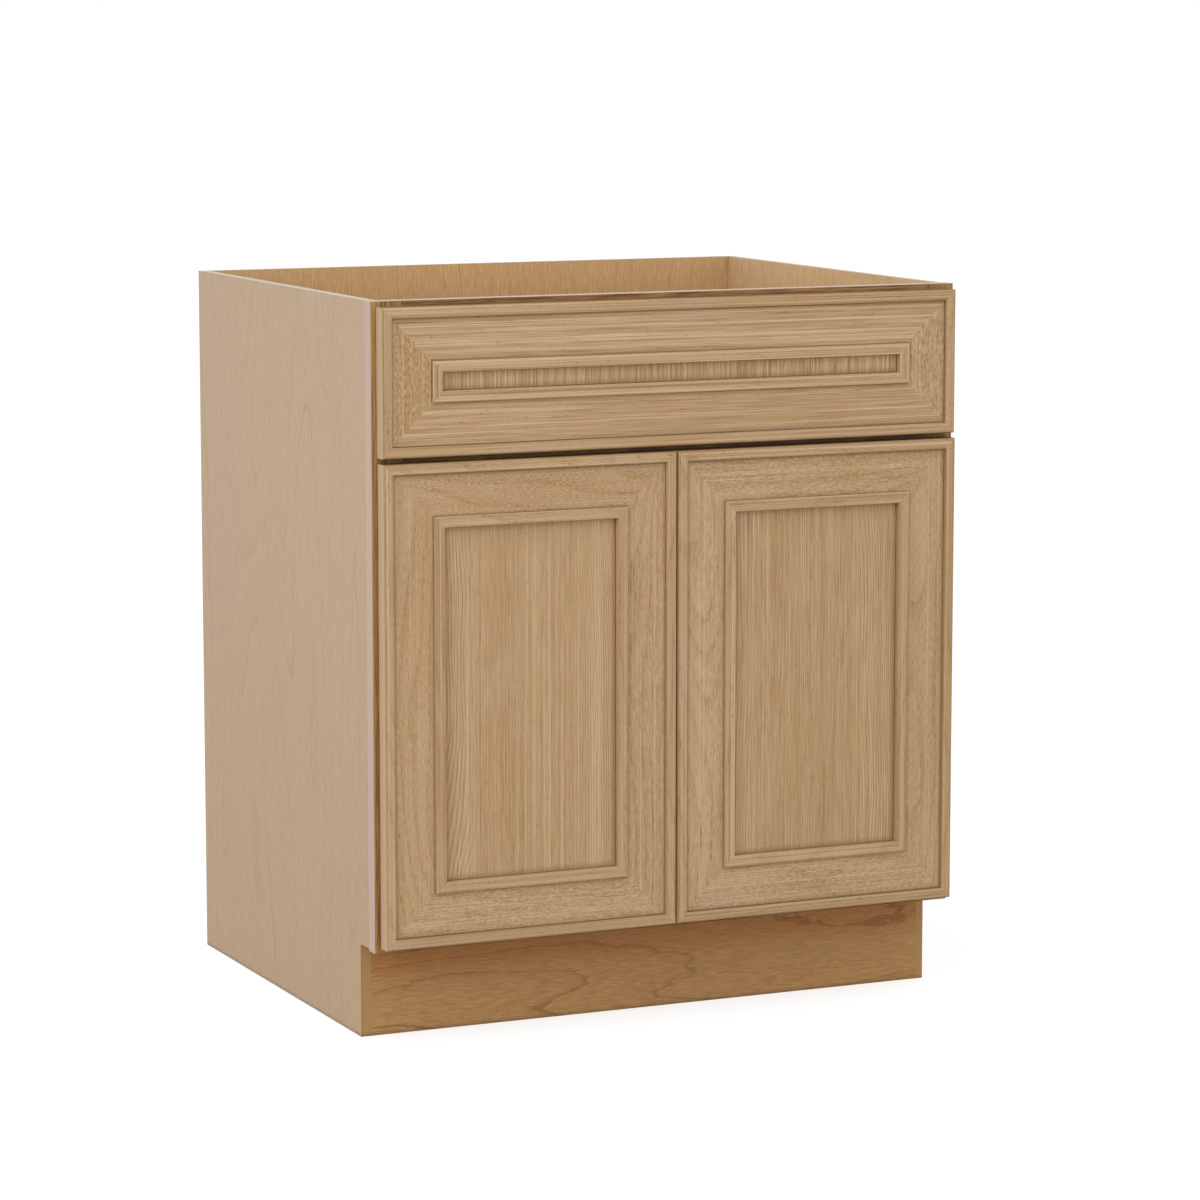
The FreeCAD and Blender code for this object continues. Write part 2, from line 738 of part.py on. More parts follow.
def slide_runner():
    """The drawer's half of a slide: an angle under the side with a flange on the roller."""
    body = new_body("slide_runner_left")
    section = new_sketch(body, "runner_section", "XZ_Plane")
    rise = f"({flange_under} - {box_bottom})"
    outline(section, (s.box_board, "0"), (s.box_board, f"-{s.steel}"),
            (f"-{s.steel}", f"-{s.steel}"), (f"-{s.steel}", rise),
            (f"-{s.steel} - {s.runner_flange}", rise),
            (f"-{s.steel} - {s.runner_flange}", f"{rise} + {s.steel}"),
            ("0", f"{rise} + {s.steel}"), ("0", "0"))
    grow(body, section, box_length, reverse=True)
    place(body, f"-{box_half}", box_front, box_bottom)
    keep("slide_runner_left", body)
    mirrored("slide_runner_right", body)


def roller(name, radius, x, y, z):
    """A moulded roller, turned about its axle."""
    body = new_body(name)
    section = new_sketch(body, f"{name}_section", "XY_Plane")
    bore = f"({s.axle_radius} + {s.running_gap})"
    outline(section, ("0", bore), (s.roller_width, bore), (s.roller_width, radius),
            ("0", radius))
    turned = body.newObject("PartDesign::Revolution", f"{name}_turned")
    turned.Profile = section
    turned.ReferenceAxis = (section, ["H_Axis"])
    turned.Angle = 360
    place(body, x, y, z)
    return keep(name, body)


def axle(name, start, direction, y, z):
    """A rivet: its shank through the roller and its head on the roller's free side."""
    angle = 90 * direction
    sign = "+" if direction > 0 else "-"
    play = f"({s.roller_width} + 2 * {s.seat_gap})"
    shank = cylinder(f"{name}_shank", s.axle_radius, play, start, y, z, (0, 1, 0), angle)
    head = cylinder(f"{name}_head", s.axle_head_radius, s.axle_head,
                    f"{start} {sign} {play}", y, z, (0, 1, 0), angle)
    return fuse(name, shank, head)


def slide_rollers():
    """Front rollers on the channels and rear rollers on the runners, each on its rivet."""
    front_place = f"({channel_front} + {s.roller_inset})"
    rear_place = f"({box_rear} - {s.roller_inset})"
    front_left = roller("front_roller_left", s.front_roller_radius,
                        f"-{web_inner} + {s.seat_gap}", front_place, front_roller_level)
    mirrored("front_roller_right", front_left)
    leg_outer = f"({box_half} + {s.steel})"
    rear_left = roller("rear_roller_left", s.rear_roller_radius,
                       f"-{leg_outer} - {s.seat_gap} - {s.roller_width}", rear_place,
                       rear_roller_level)
    mirrored("rear_roller_right", rear_left)
    group("front_roller_axles", *[
        axle(f"front_axle_{side}", f"{sign}{web_inner}", direction, front_place,
             front_roller_level)
        for side, sign, direction in (("left", "-", 1), ("right", "+", -1))])
    group("rear_roller_axles", *[
        axle(f"rear_axle_{side}", f"{sign}{leg_outer}", direction, rear_place,
             rear_roller_level)
        for side, sign, direction in (("left", "-", -1), ("right", "+", 1))])


# Hinges
pivot_x = f"(-{half_width} + {s.reveal} + {s.pivot_inset})"
pivot_y = f"({front} - {s.door_gap} - {s.pivot_depth})"
hinge_levels = (f"({door_bottom} + {s.hinge_end_distance})",
                f"({door_top} - {s.hinge_end_distance})")


def hinge_arm(name, level):
    """A cranked arm from the door's pin, through the cup's mouth, to the stile's inner edge."""
    body = new_body(name)
    half = f"({s.arm_thickness} / 2)"
    stile_edge = f"(-{opening_half} - {pivot_x})"
    outer_face = f"({stile_edge} + {s.arm_thickness})"
    plate_front = f"({front} - {pivot_y} + {s.arm_plate_start})"
    plate_rear = f"({plate_front} + {s.arm_plate_depth})"
    crank = new_sketch(body, f"{name}_crank", "XY_Plane")
    outline(crank, ("0", f"-{half}"), (outer_face, f"-{half}"), (outer_face, plate_rear),
            (stile_edge, plate_rear), (stile_edge, half), ("0", half))
    bar = grow(body, crank, s.arm_width, "Symmetric")
    inside = ease_edges(body, bar, "Fillet", s.arm_bend, [(value(stile_edge), value(half))],
                        along=2)
    ease_edges(body, inside, "Fillet", f"{s.arm_bend} + {s.arm_thickness}",
               [(value(outer_face), -value(half))], along=2)
    plate = new_sketch(body, f"{name}_plate", "XY_Plane")
    outline(plate, (stile_edge, plate_front), (outer_face, plate_front),
            (outer_face, plate_rear), (stile_edge, plate_rear))
    grow(body, plate, s.arm_plate_height, "Symmetric")
    eye = new_sketch(body, f"{name}_eye", "XY_Plane")
    circle(eye, ("0", "0"), s.eye_radius)
    grow(body, eye, s.arm_width, "Symmetric")
    bore = new_sketch(body, f"{name}_bore", "XY_Plane")
    circle(bore, ("0", "0"), f"{s.hinge_pin_radius} + {s.running_gap}")
    carve(body, bore, f"{s.arm_width} + {s.overrun}", "Symmetric")
    return place(body, pivot_x, pivot_y, level)


def hinge_cup(name, level):
    """A cup with side wings on the door's back and two cheeks that hold the pin."""
    body = new_body(name)
    outer_radius = f"({s.cup_radius} - {s.cup_fit})"
    shell = new_sketch(body, f"{name}_shell", "XZ_Plane")
    circle(shell, ("0", "0"), outer_radius)
    grow(body, shell, s.cup_depth)
    wings = new_sketch(body, f"{name}_wings", "XZ_Plane")
    wide = f"({s.flange_width} / 2)"
    long = f"({s.flange_length} / 2)"
    outline(wings, (f"-{wide}", f"-{long}"), (wide, f"-{long}"), (wide, long),
            (f"-{wide}", long))
    grow(body, wings, s.flange_thickness, reverse=True)
    hollow = new_sketch(body, f"{name}_hollow", "XZ_Plane", f"-{s.flange_thickness}")
    circle(hollow, ("0", "0"), f"{outer_radius} - {s.cup_wall}")
    carve(body, hollow, f"{s.flange_thickness} + {s.cup_depth} - {s.cup_wall}", reverse=True)
    pin_x = f"({s.pivot_inset} - {s.cup_inset} - {s.cup_radius})"
    cheeks = new_sketch(body, f"{name}_cheeks", "XZ_Plane", f"{s.cup_depth} - {s.cup_wall}")
    far = f"({s.hinge_pin_length} / 2)"
    near = f"({far} - {s.cheek_thickness})"
    for sign in ("-", "+"):
        outline(cheeks, (f"{pin_x} - {s.cheek_front}", f"{sign}{near}"),
                (f"{pin_x} + {s.cheek_rear}", f"{sign}{near}"),
                (f"{pin_x} + {s.cheek_rear}", f"{sign}{far}"),
                (f"{pin_x} - {s.cheek_front}", f"{sign}{far}"))
    grow(body, cheeks, s.cheek_height, reverse=True)
    bore = new_sketch(body, f"{name}_pin_bore", "XY_Plane")
    circle(bore, (pin_x, f"-{s.pivot_depth}"), s.hinge_pin_radius)
    carve(body, bore, s.hinge_pin_length, "Symmetric")
    cup_x = f"(-{half_width} + {s.reveal} + {s.cup_inset} + {s.cup_radius})"
    return place(body, cup_x, f"({front} - {s.door_gap})", level)


def hinges():
    """Two hinges for each door: an arm on the frame, and a cup and pin in the door."""
    names = ("lower", "upper")
    arms = [hinge_arm(f"{name}_arm", level) for name, level in zip(names, hinge_levels)]
    cups = [hinge_cup(f"{name}_cup", level) for name, level in zip(names, hinge_levels)]
    pins = [cylinder(f"{name}_hinge_pin", s.hinge_pin_radius, s.hinge_pin_length, pivot_x,
                     pivot_y, f"{level} - {s.hinge_pin_length} / 2")
            for name, level in zip(names, hinge_levels)]
    mirrored("hinge_arms_right", group("hinge_arms_left", *arms))
    mirrored("hinge_cups_right", group("hinge_cups_left", *cups))
    mirrored("hinge_pins_right", group("hinge_pins_left", *pins))


def check_and_write():
    """Stops if any object failed, then writes each node's shape to its own file."""
    document.recompute()
    for item in document.Objects:
        failed = {"Invalid", "Error"} & set(item.State)
        if failed:
            raise RuntimeError(f"{item.Label} is in state {failed}")
    for name, item in nodes.items():
        if item.Shape.isNull() or not item.Shape.isValid() or not item.Shape.Solids:
            raise RuntimeError(f"{name} has no valid solid")
    os.makedirs("parts", exist_ok=True)
    for name, item in nodes.items():
        item.Shape.exportStep(os.path.join("parts", f"{name}.step"))
        print(f"{name}: {len(item.Shape.Solids)} solids, {item.Shape.Volume:.0f} mm3")


face_frame()
case_sides()
case_boards()
corner_braces()
shelf_with_pegs()
fronts()
drawer_box()
slide_channel()
slide_socket()
slide_runner()
slide_rollers()
hinges()
check_and_write()
lever = math.hypot(value(s.pivot_inset), value(s.pivot_depth))
clear = value(s.door_gap) + value(s.pivot_depth) - lever
print(f"{len(nodes)} nodes; the door's corner clears the frame by {clear:.2f} mm as it turns")
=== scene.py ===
"""Dresses a kitchen base cabinet: its woods, metals and plastics, screws, lights and camera.

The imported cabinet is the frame. Nothing of it moves: its nodes get finishes, and the small
pieces that it lacks are made here and ride on its bodies. Lengths are in metres.
"""

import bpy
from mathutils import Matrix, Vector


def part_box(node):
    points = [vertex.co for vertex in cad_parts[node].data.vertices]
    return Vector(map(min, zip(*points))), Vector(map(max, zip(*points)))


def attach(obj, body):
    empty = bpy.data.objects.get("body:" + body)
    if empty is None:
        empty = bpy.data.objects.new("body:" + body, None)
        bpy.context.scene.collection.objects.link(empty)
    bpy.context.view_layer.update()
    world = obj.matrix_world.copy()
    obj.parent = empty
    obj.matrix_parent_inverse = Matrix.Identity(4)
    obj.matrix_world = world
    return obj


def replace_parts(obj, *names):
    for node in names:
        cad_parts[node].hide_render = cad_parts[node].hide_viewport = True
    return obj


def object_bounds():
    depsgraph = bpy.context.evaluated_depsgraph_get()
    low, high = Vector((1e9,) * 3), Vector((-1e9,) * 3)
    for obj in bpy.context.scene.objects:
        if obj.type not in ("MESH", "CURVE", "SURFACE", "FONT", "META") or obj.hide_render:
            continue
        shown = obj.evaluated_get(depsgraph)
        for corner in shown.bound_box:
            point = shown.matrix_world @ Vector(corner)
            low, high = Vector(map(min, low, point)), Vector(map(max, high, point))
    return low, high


bl_info = {
    "name": "Base Cabinet Finishes",
    "version": (1, 0, 0),
    "blender": (4, 5, 0),
    "location": "3D View > Sidebar > Cabinet",
    "description": "Gives a packed base cabinet its woods, hardware, lights and camera",
    "category": "Object",
}

import math
import random

import bmesh
import bpy
from mathutils import Matrix, Vector

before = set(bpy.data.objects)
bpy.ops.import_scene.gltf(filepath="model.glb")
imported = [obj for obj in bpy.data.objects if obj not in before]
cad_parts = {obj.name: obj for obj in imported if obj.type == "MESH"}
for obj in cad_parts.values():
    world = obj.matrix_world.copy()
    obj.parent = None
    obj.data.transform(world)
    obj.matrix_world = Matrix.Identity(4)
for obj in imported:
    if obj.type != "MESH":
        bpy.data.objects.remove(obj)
CAD_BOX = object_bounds()
MM = 0.001
AXES = "XYZ"

# The seeds of what differs from board to board
FRONTS_SEED = 11
FRAME_SEED = 23
CASE_SEED = 5
DRAWER_SEED = 31

# How much boards differ: how far their place in the figure moves along each axis, how deep
# their heart lies, how their grain slopes and how much lighter or darker they are
FIGURE_REACH = 4.0
HEART_DEPTH = (20.0 * MM, 50.0 * MM)
GRAIN_SLOPE = 0.03
BOARD_TINT = 0.04

# The fronts' members, measured inwards from their outer edges and back from their faces
OUTER_BEAD = 12.7 * MM
FIELD_END = 63.2 * MM
MOULDED_DEPTH = 12.0 * MM

# How deep a band of colour on a face reaches into its board, and how much of its own colour
# it covers on oak
SKIN_DEPTH = 0.15 * MM
BAND_COVER = 0.95

# The dark line in each back corner of the case
JOINT_LINE = 1.0 * MM

# The slides' runner screws, as shares of a runner's length
RUNNER_SCREWS = (0.08, 0.5, 0.9)

# The hinges: their arm plate's thickness, its screws from the arm's back and from its middle,
# that middle from the end of the node with both arms, and the cup's screws from its middle,
# with their heads as a share of the arm's screw heads
ARM_PLATE = 2.5 * MM
ARM_SCREW_BACK = 8.5 * MM
ARM_SCREW_LIFT = 16.0 * MM
ARM_MIDDLE = 25.0 * MM
CUP_SCREW_LIFT = 22.5 * MM
CUP_HEAD = 0.9

# The drawer front's screws: from the box's middle, its lower edge and its upper edge, and the
# radius and height of their heads
FRONT_SCREW_X = 220.0 * MM
FRONT_SCREW_RISE = 32.0 * MM
FRONT_SCREW_DROP = 24.0 * MM
FRONT_HEAD = (4.6 * MM, 2.2 * MM)

# The angle past which the edges of a new piece stay sharp
SHARP_ANGLE = math.radians(40.0)

# The soft lamps: the setting with their power, where they hang and how wide they are
LAMPS = (
    ("key", (-4.2, -2.6, 2.6), 3.0),
    ("overhead", (-0.9, -1.8, 3.4), 2.6),
)

# The floor's colours in the light that it gives back, and what the camera sees of it: a grey
# that takes shadows and a glow that makes it white
FLOOR_TAN = ((0.58, 0.51, 0.37), (0.62, 0.55, 0.41))
FLOOR_GREY = (0.36, 0.36, 0.36)
FLOOR_GLOW = 0.74


# Building materials from nodes

class Field:
    """An output socket of a node tree, with arithmetic that adds Math nodes."""

    def __init__(self, tree, socket):
        self.tree = tree
        self.socket = socket

    def math(self, operation, *values):
        return self.tree.add("ShaderNodeMath", {"operation": operation}, dict(enumerate(values)))

    def __add__(self, other):
        return self.math("ADD", self, other)

    __radd__ = __add__

    def __sub__(self, other):
        return self.math("SUBTRACT", self, other)

    def __rsub__(self, other):
        return self.math("SUBTRACT", other, self)

    def __mul__(self, other):
        return self.math("MULTIPLY", self, other)

    __rmul__ = __mul__

    def __pow__(self, other):
        return self.math("POWER", self, other)

    def fraction(self):
        return self.math("FRACT", self)

    def above(self, limit):
        return self.math("GREATER_THAN", self, limit)

    def below(self, limit):
        return self.math("LESS_THAN", self, limit)

    def most(self, other):
        return self.math("MAXIMUM", self, other)

    def least(self, other):
        return self.math("MINIMUM", self, other)

    def ease(self, start, end):
        """0 at start and 1 at end, smooth between them; start may be the higher one."""
        return self.tree.add(
            "ShaderNodeMapRange",
            {"interpolation_type": "SMOOTHSTEP"},
            {"Value": self, "From Min": start, "From Max": end},
        )


class Tree:
    """A node tree under construction."""

    def __init__(self, tree):
        self.tree = tree

    def add(self, kind, settings=None, inputs=None, output=0):
        """Any node: its settings first, a ramp's stops among them, and then its sockets."""
        node = self.tree.nodes.new(kind)
        for name, setting in (settings or {}).items():
            if name == "stops":
                ramp = node.color_ramp
                while len(ramp.elements) < len(setting):
                    ramp.elements.new(1.0)
                for element, (position, colour) in zip(ramp.elements, setting):
                    element.position = position
                    element.color = (*colour, 1.0)
            else:
                setattr(node, name, setting)
        for name, value in (inputs or {}).items():
            self.feed(node.inputs[name], value)
        return Field(self, node.outputs[output])

    def feed(self, socket, value):
        if isinstance(value, Field):
            self.tree.links.new(value.socket, socket)
        elif socket.type == "RGBA" and len(value) == 3:
            socket.default_value = (*value, 1.0)
        else:
            socket.default_value = value

    def seen(self):
        """1 for what the camera sees straight, mirrored or through something clear."""
        paths = [
            self.add("ShaderNodeLightPath", output=name)
            for name in ("Is Camera Ray", "Is Glossy Ray", "Is Transmission Ray")
        ]
        return paths[0].most(paths[1]).most(paths[2])


class Finish(Tree):
    """One material. Its patterns lie on Object coordinates."""

    def __init__(self, name, **constants):
        self.material = bpy.data.materials.new(name)
        self.material.use_nodes = True
        super().__init__(self.material.node_tree)
        self.shader = self.tree.nodes["Principled BSDF"]
        self.place = self.add("ShaderNodeTexCoord", output="Object")
        self.set(**constants)

    def set(self, **values):
        """Feeds the shader; Base_Color stands for the socket Base Color."""
        for name, value in values.items():
            self.feed(self.shader.inputs[name.replace("_", " ")], value)

    def part(self, letter):
        """One coordinate."""
        return self.add("ShaderNodeSeparateXYZ", inputs={"Vector": self.place}, output=letter)

    def faces(self, limits):
        """1 past every limit, each a coordinate, a value and the way past it."""
        mask = 1.0
        for letter, limit, way in limits:
            coordinate = self.part(letter)
            mask = mask * (coordinate.above(limit) if way > 0 else coordinate.below(limit))
        return mask

    def moved(self, place, x, y, z):
        shift = self.add("ShaderNodeCombineXYZ", inputs={"X": x, "Y": y, "Z": z})
        return self.add("ShaderNodeVectorMath", {"operation": "ADD"}, {0: place, 1: shift})

    def noise(self, place, scales, detail=2.0, roughness=0.5, distortion=0.0):
        """Cloudy values round 0.5, with so many features to the metre along X, Y and Z."""
        mapped = self.add("ShaderNodeMapping", inputs={"Vector": place, "Scale": scales})
        return self.add(
            "ShaderNodeTexNoise",
            inputs={
                "Vector": mapped,
                "Scale": 1.0,
                "Detail": detail,
                "Roughness": roughness,
                "Distortion": distortion,
            },
        )

    def mix(self, share, first, second, blend="MIX"):
        return self.add(
            "ShaderNodeMix",
            {"data_type": "RGBA", "blend_type": blend},
            {0: share, 6: first, 7: second},
            output=2,
        )

    def ramp(self, value, *stops):
        return self.add("ShaderNodeValToRGB", {"stops": stops}, {"Fac": value})

    def bump(self, height, strength, depth):
        normal = self.add(
            "ShaderNodeBump",
            inputs={"Height": height, "Strength": strength, "Distance": depth},
        )
        self.set(Normal=normal)


class Board:
    """One board: the way its grain runs, its place in the figure and where its heart was."""

    def __init__(self, dice, grain, across, middle, cut):
        self.grain = grain
        self.across = across
        self.cut = cut
        self.shift = [dice.uniform(-FIGURE_REACH, FIGURE_REACH) for _ in AXES]
        self.side = middle + dice.choice((-1, 1)) * dice.uniform(*cut.offset)
        self.heart = dice.uniform(*HEART_DEPTH)
        self.slope = dice.uniform(-GRAIN_SLOPE, GRAIN_SLOPE)
        self.tint = dice.uniform(-BOARD_TINT, BOARD_TINT)

    @classmethod
    def plain(cls, dice, grain, across):
        """A board of maple or birch, whose figure has no heart, so that any cut does."""
        return cls(dice, grain, across, 0.0, PANEL_CUT)

    def scales(self, along, over):
        """Features to the metre along X, Y and Z, from those along and across the grain."""
        return [along if letter == self.grain else over for letter in AXES]

    def depth(self):
        """The axis through the board's thickness."""
        return next(letter for letter in AXES if letter not in (self.grain, self.across))


class Cut:
    """A way of sawing oak.

    dash and over are the fineness of its short marks along and across the grain, contrast and
    lines the strength of those and of its long lines, and rings that of its growth rings, whose
    heart lies offset to one side and sways along the board. hair is the strength of its pale
    hairlines, and shade makes it lighter or darker than its palette's middle. A cut with a core
    is flat sawn: its growth rings show outside that distance from its middle.
    """

    def __init__(self, dash, over, contrast, lines, rings, offset, sway, hair, shade=0.0,
                 core=0.0):
        self.dash = dash
        self.over = over
        self.contrast = contrast
        self.lines = lines
        self.rings = rings
        self.offset = offset
        self.sway = sway
        self.hair = hair
        self.shade = shade
        self.core = core


LONG_CUT = Cut(16.0, 860.0, 1.25, 0.8, rings=0.06, offset=(0.10, 0.16), sway=0.02, hair=0.65)
DOTTED_CUT = Cut(190.0, 600.0, 1.75, 0.5, rings=0.10, offset=(0.06, 0.12), sway=0.03, hair=0.3)
RAIL_CUT = Cut(240.0, 1000.0, 1.8, 0.5, rings=0.13, offset=(0.03, 0.08), sway=0.05, hair=0.3)
STILE_CUT = Cut(110.0, 900.0, 1.15, 0.5, rings=0.18, offset=(0.03, 0.07), sway=0.05, hair=0.3)
PANEL_CUT = Cut(26.0, 860.0, 1.0, 0.95, rings=0.50, offset=(0.0, 0.012), sway=0.20, hair=0.25,
                shade=-0.05, core=0.055)
SHORT_PANEL_CUT = Cut(26.0, 620.0, 1.2, 1.1, rings=0.20, offset=(0.10, 0.16), sway=0.08,
                      hair=0.4, shade=0.03)
STRIP_CUT = Cut(25.0, 600.0, 1.4, 1.2, rings=0.12, offset=(0.12, 0.20), sway=0.03, hair=0.2)
# The frame's rails are darker still: painted shade, as in the gaps between the fronts
RAIL_STRIP_CUT = Cut(25.0, 600.0, 1.4, 1.2, rings=0.12, offset=(0.12, 0.20), sway=0.03, hair=0.1,
                     shade=-0.25)


# The painted shade line in a corner: where it ends, where it is darkest, and how dark that is
LINE_END = 1.5 * MM
LINE_CORE = 0.3 * MM
LINE_DARK = 0.55


def crease(distance, reach, soft=0.24):
    """Painted shade in a corner: a fine dark line, then shade that fades over a reach."""
    line = distance.ease(LINE_END, LINE_CORE) * LINE_DARK
    return (line + distance.ease(reach, 0.0) * soft) * distance.above(0.0)


def painted_member_shade(inward):
    """Painted shade on a member: in its two creases and on the rounded edges of its outer bead."""
    outer_crease = crease(inward - OUTER_BEAD, 5.0 * MM, 0.3)
    inner_crease = crease(FIELD_END - inward, 5.0 * MM)
    outer_edge = inward.ease(3.0 * MM, 0.0) * 0.45
    bead_edge = (OUTER_BEAD - inward).ease(2.5 * MM, 0.0) * inward.below(OUTER_BEAD) * 0.3
    return outer_crease + inner_crease + outer_edge + bead_edge


def painted_panel_shade(wood, left, right, bottom, top):
    """Painted shade on a panel beside the members that hold it, least under the upper one."""
    upright = (wood.part("X") - left).least(right - wood.part("X"))
    around = crease(upright.least(wood.part("Z") - bottom), 9.0 * MM, 0.42)
    return around.most(crease(top - wood.part("Z"), 3.0 * MM))


# The oak's figure: growth rings to the metre, and features to the metre along and across the
# grain for what bends the rings, for its streaks, clouds and patches, and for its pores
OAK_RINGS = 260.0
OAK_SWAY = (1.8, 7.0)
OAK_DRIFT = (9.0, 60.0)
OAK_STREAK = (4.0, 120.0)
OAK_CLOUD = (1.6, 18.0)
OAK_PATCH = (9.0, 34.0)
OAK_PORE = (120.0, 900.0)

# Long lines of the oak run so many to the metre along the grain, and across it so many for
# each of the cut's short marks
LINE_ALONG = 1.3
LINE_OVER = 0.85

# How far the figure jumps between a member's beads and field, so that each looks like its own
# strip of wood, and how far its heart moves
STRIP_JUMP = (0.41, 0.23, 0.57)
HEART_JUMP = 30.0 * MM

# How wide the edge is between a flat sawn board's plain core and its rings
CORE_EDGE = 30.0 * MM

# How strong the pale lines are on a bead, and on any face the streaks, the clouds, the pinkish
# rays, the greenish patches and the pores
BEAD_HAIR = 0.35
STREAK_SHARE = 0.25
CLOUD_SHARE = 0.35
RAY_SHARE = 0.28
GREEN_SHARE = 0.18
PORE_SHARE = 0.36


def oak(name, colours, board, edge=None, hole=None, face=0.0, bands=(), palette="oak"):
    """Clear-coated oak: growth rings, open pores, fibres and light rays.

    edge is where a member's outer edge lies across the grain, with the way inwards. hole is
    the left, right, bottom and top of the opening that a panel is seen through, and face the
    front plane of both. From edge and hole comes the painted shade in the front's creases,
    corners and rounded edges. Bands are faces past some coordinates, each with a plain colour.
    """
    light, mid, dark = (getattr(colours, f"{palette}_{tone}") for tone in ("light", "mid", "dark"))
    cut = board.cut
    wood = Finish(name, Coat_Roughness=0.35, Specular_IOR_Level=0.35)
    across = wood.part(board.across)
    place = wood.moved(wood.place, *board.shift)
    zone, bead, shade = 0.0, 0.0, 0.0
    front = wood.part("Y").below(face + MOULDED_DEPTH)
    if edge:
        inward = (across - edge[0]) * edge[1]
        past_bead, past_field = inward.above(OUTER_BEAD) * front, inward.above(FIELD_END) * front
        zone = past_bead + past_field
        bead = front - past_bead + past_field
        place = wood.moved(place, *[zone * jump for jump in STRIP_JUMP])
        shade = painted_member_shade(inward)
    if hole:
        shade = painted_panel_shade(wood, *hole)
    sway = wood.noise(place, board.scales(*OAK_SWAY))
    drift = wood.noise(place, board.scales(*OAK_DRIFT))
    heart = (wood.part(board.depth()) + wood.part(board.grain) * board.slope + board.heart
             + (sway - 0.5) * cut.sway)
    side = across - board.side + zone * HEART_JUMP
    flat = 1.0
    if cut.core:
        heart = heart - face
        flat = (side * side).ease(cut.core ** 2, (cut.core + CORE_EDGE) ** 2)
    radius = (heart * heart + side * side) ** 0.5
    rings = (radius * OAK_RINGS + (drift - 0.5) * 0.5).fraction()
    early = 1.0 - rings.ease(0.0, 0.5)
    grain = wood.noise(place, board.scales(cut.dash, cut.over), detail=1.0)
    line = wood.noise(place, board.scales(LINE_ALONG, cut.over * LINE_OVER), detail=1.0)
    streak = wood.noise(place, board.scales(*OAK_STREAK))
    cloud = wood.noise(place, board.scales(*OAK_CLOUD))
    patch = wood.noise(place, board.scales(*OAK_PATCH), detail=1.0)
    dash = wood.noise(place, board.scales(*OAK_PORE), detail=0.0)
    pores = dash.ease(0.60, 0.74) * (0.2 + 0.8 * early)
    tone = (0.5 + cut.shade + board.tint + (grain - 0.5) * cut.contrast * (1.0 - bead * 0.6)
            + (line - 0.5) * (cut.lines + bead) + (streak - 0.5) * STREAK_SHARE
            + (cloud - 0.5) * CLOUD_SHARE - (early - 0.4) * flat * cut.rings)
    colour = wood.ramp(tone, (0.0, dark), (0.5, mid), (1.0, light))
    hair, ray = (colours.oak_hair, colours.oak_ray) if palette == "oak" else (light, light)
    share = cut.hair + bead * (BEAD_HAIR - cut.hair)
    colour = wood.mix(line.ease(0.58, 0.68) * share, colour, hair)
    colour = wood.mix(patch.ease(0.54, 0.72) * RAY_SHARE, colour, ray)
    colour = wood.mix(patch.ease(0.44, 0.28) * GREEN_SHARE, colour, colours.oak_green)
    colour = wood.mix(pores * PORE_SHARE, colour, colours.oak_pore)
    # Painted shade: the front's creases, panel corners and rounded edges darkened towards a shade
    # colour
    if edge or hole:
        colour = wood.mix(shade * front, colour, colours.oak_painted_shade)
    for limits, band in bands:
        colour = wood.mix(wood.faces(limits) * BAND_COVER, colour, band)
    wood.set(
        Base_Color=colour,
        Roughness=0.48 + (streak - 0.5) * 0.2 + pores * 0.2,
        Coat_Weight=0.10 - pores * 0.1,
    )
    wood.bump(grain * 0.5 + streak * 0.25 - pores, 0.3, 0.25 * MM)
    return wood.material


class Veneer:
    """How a maple-like board looks.

    rings is how many growth lines it has to the metre, and thin the share of each ring before
    its line starts. flow gives the cloud that bends them: how fine it is along and across the
    grain, and how many rings it moves them by. ripple is how many rings they shake by. veins
    is the strength of these lines and fine that of closer, fainter ones. fibre is the strength
    of the fibres and dash their fineness along the grain, cloud the strength of broad patches
    and fleck that of short dark flecks.
    """

    def __init__(self, rings, flow, veins, fine, fibre, dash, cloud=0.5, ripple=0.35, thin=0.84,
                 fleck=0.16):
        self.rings = rings
        self.flow = flow
        self.veins = veins
        self.fine = fine
        self.fibre = fibre
        self.dash = dash
        self.cloud = cloud
        self.ripple = ripple
        self.thin = thin
        self.fleck = fleck


END_SKIN = Veneer(8.0, (1.1, 8.0, 9.0), veins=0.20, fine=0.09, fibre=2.1, dash=40.0, cloud=0.7,
                  fleck=0.05)
INNER_BOARD = Veneer(45.0, (1.7, 6.0, 4.0), veins=0.20, fine=0.12, fibre=1.8, dash=60.0)
TOE_BOARD = Veneer(15.0, (1.6, 9.0, 7.0), veins=0.44, fine=0.12, fibre=2.2, dash=50.0, cloud=1.0,
                   ripple=0.45, thin=0.88)
BIRCH_PLY = Veneer(30.0, (1.7, 6.0, 7.0), veins=0.35, fine=0.10, fibre=1.2, dash=40.0)

# Features to the metre along and across the grain of maple: what shakes its growth lines, its
# broad patches and its dark flecks, then how many fibres lie across it, and how many specks
# any way on a sawn edge
MAPLE_RIPPLE = (22.0, 70.0)
MAPLE_CLOUD = (2.0, 12.0)
MAPLE_FLECK = (120.0, 800.0)
MAPLE_FIBRES = 560.0
EDGE_SPECKS = 900.0

# How many faint growth lines there are for each strong one
FAINT_LINES = 4.3

# Painted light and shade by height: two heights, and the colour that a board is multiplied by
# past the second. A painted shadow darkens boards just above the floor, painted warm bounce
# light makes the finished end warmer downwards, and painted shade under the doors makes the
# toe board warmer and darker upwards.
FLOOR_PAINTED_SHADOW = (6.0 * MM, 0.0, (0.64, 0.64, 0.64))
SKIN_PAINTED_BOUNCE = (800.0 * MM, 50.0 * MM, (0.95, 0.905, 0.845))
TOE_PAINTED_SHADE = (52.0 * MM, 88.0 * MM, (0.97, 0.80, 0.65))


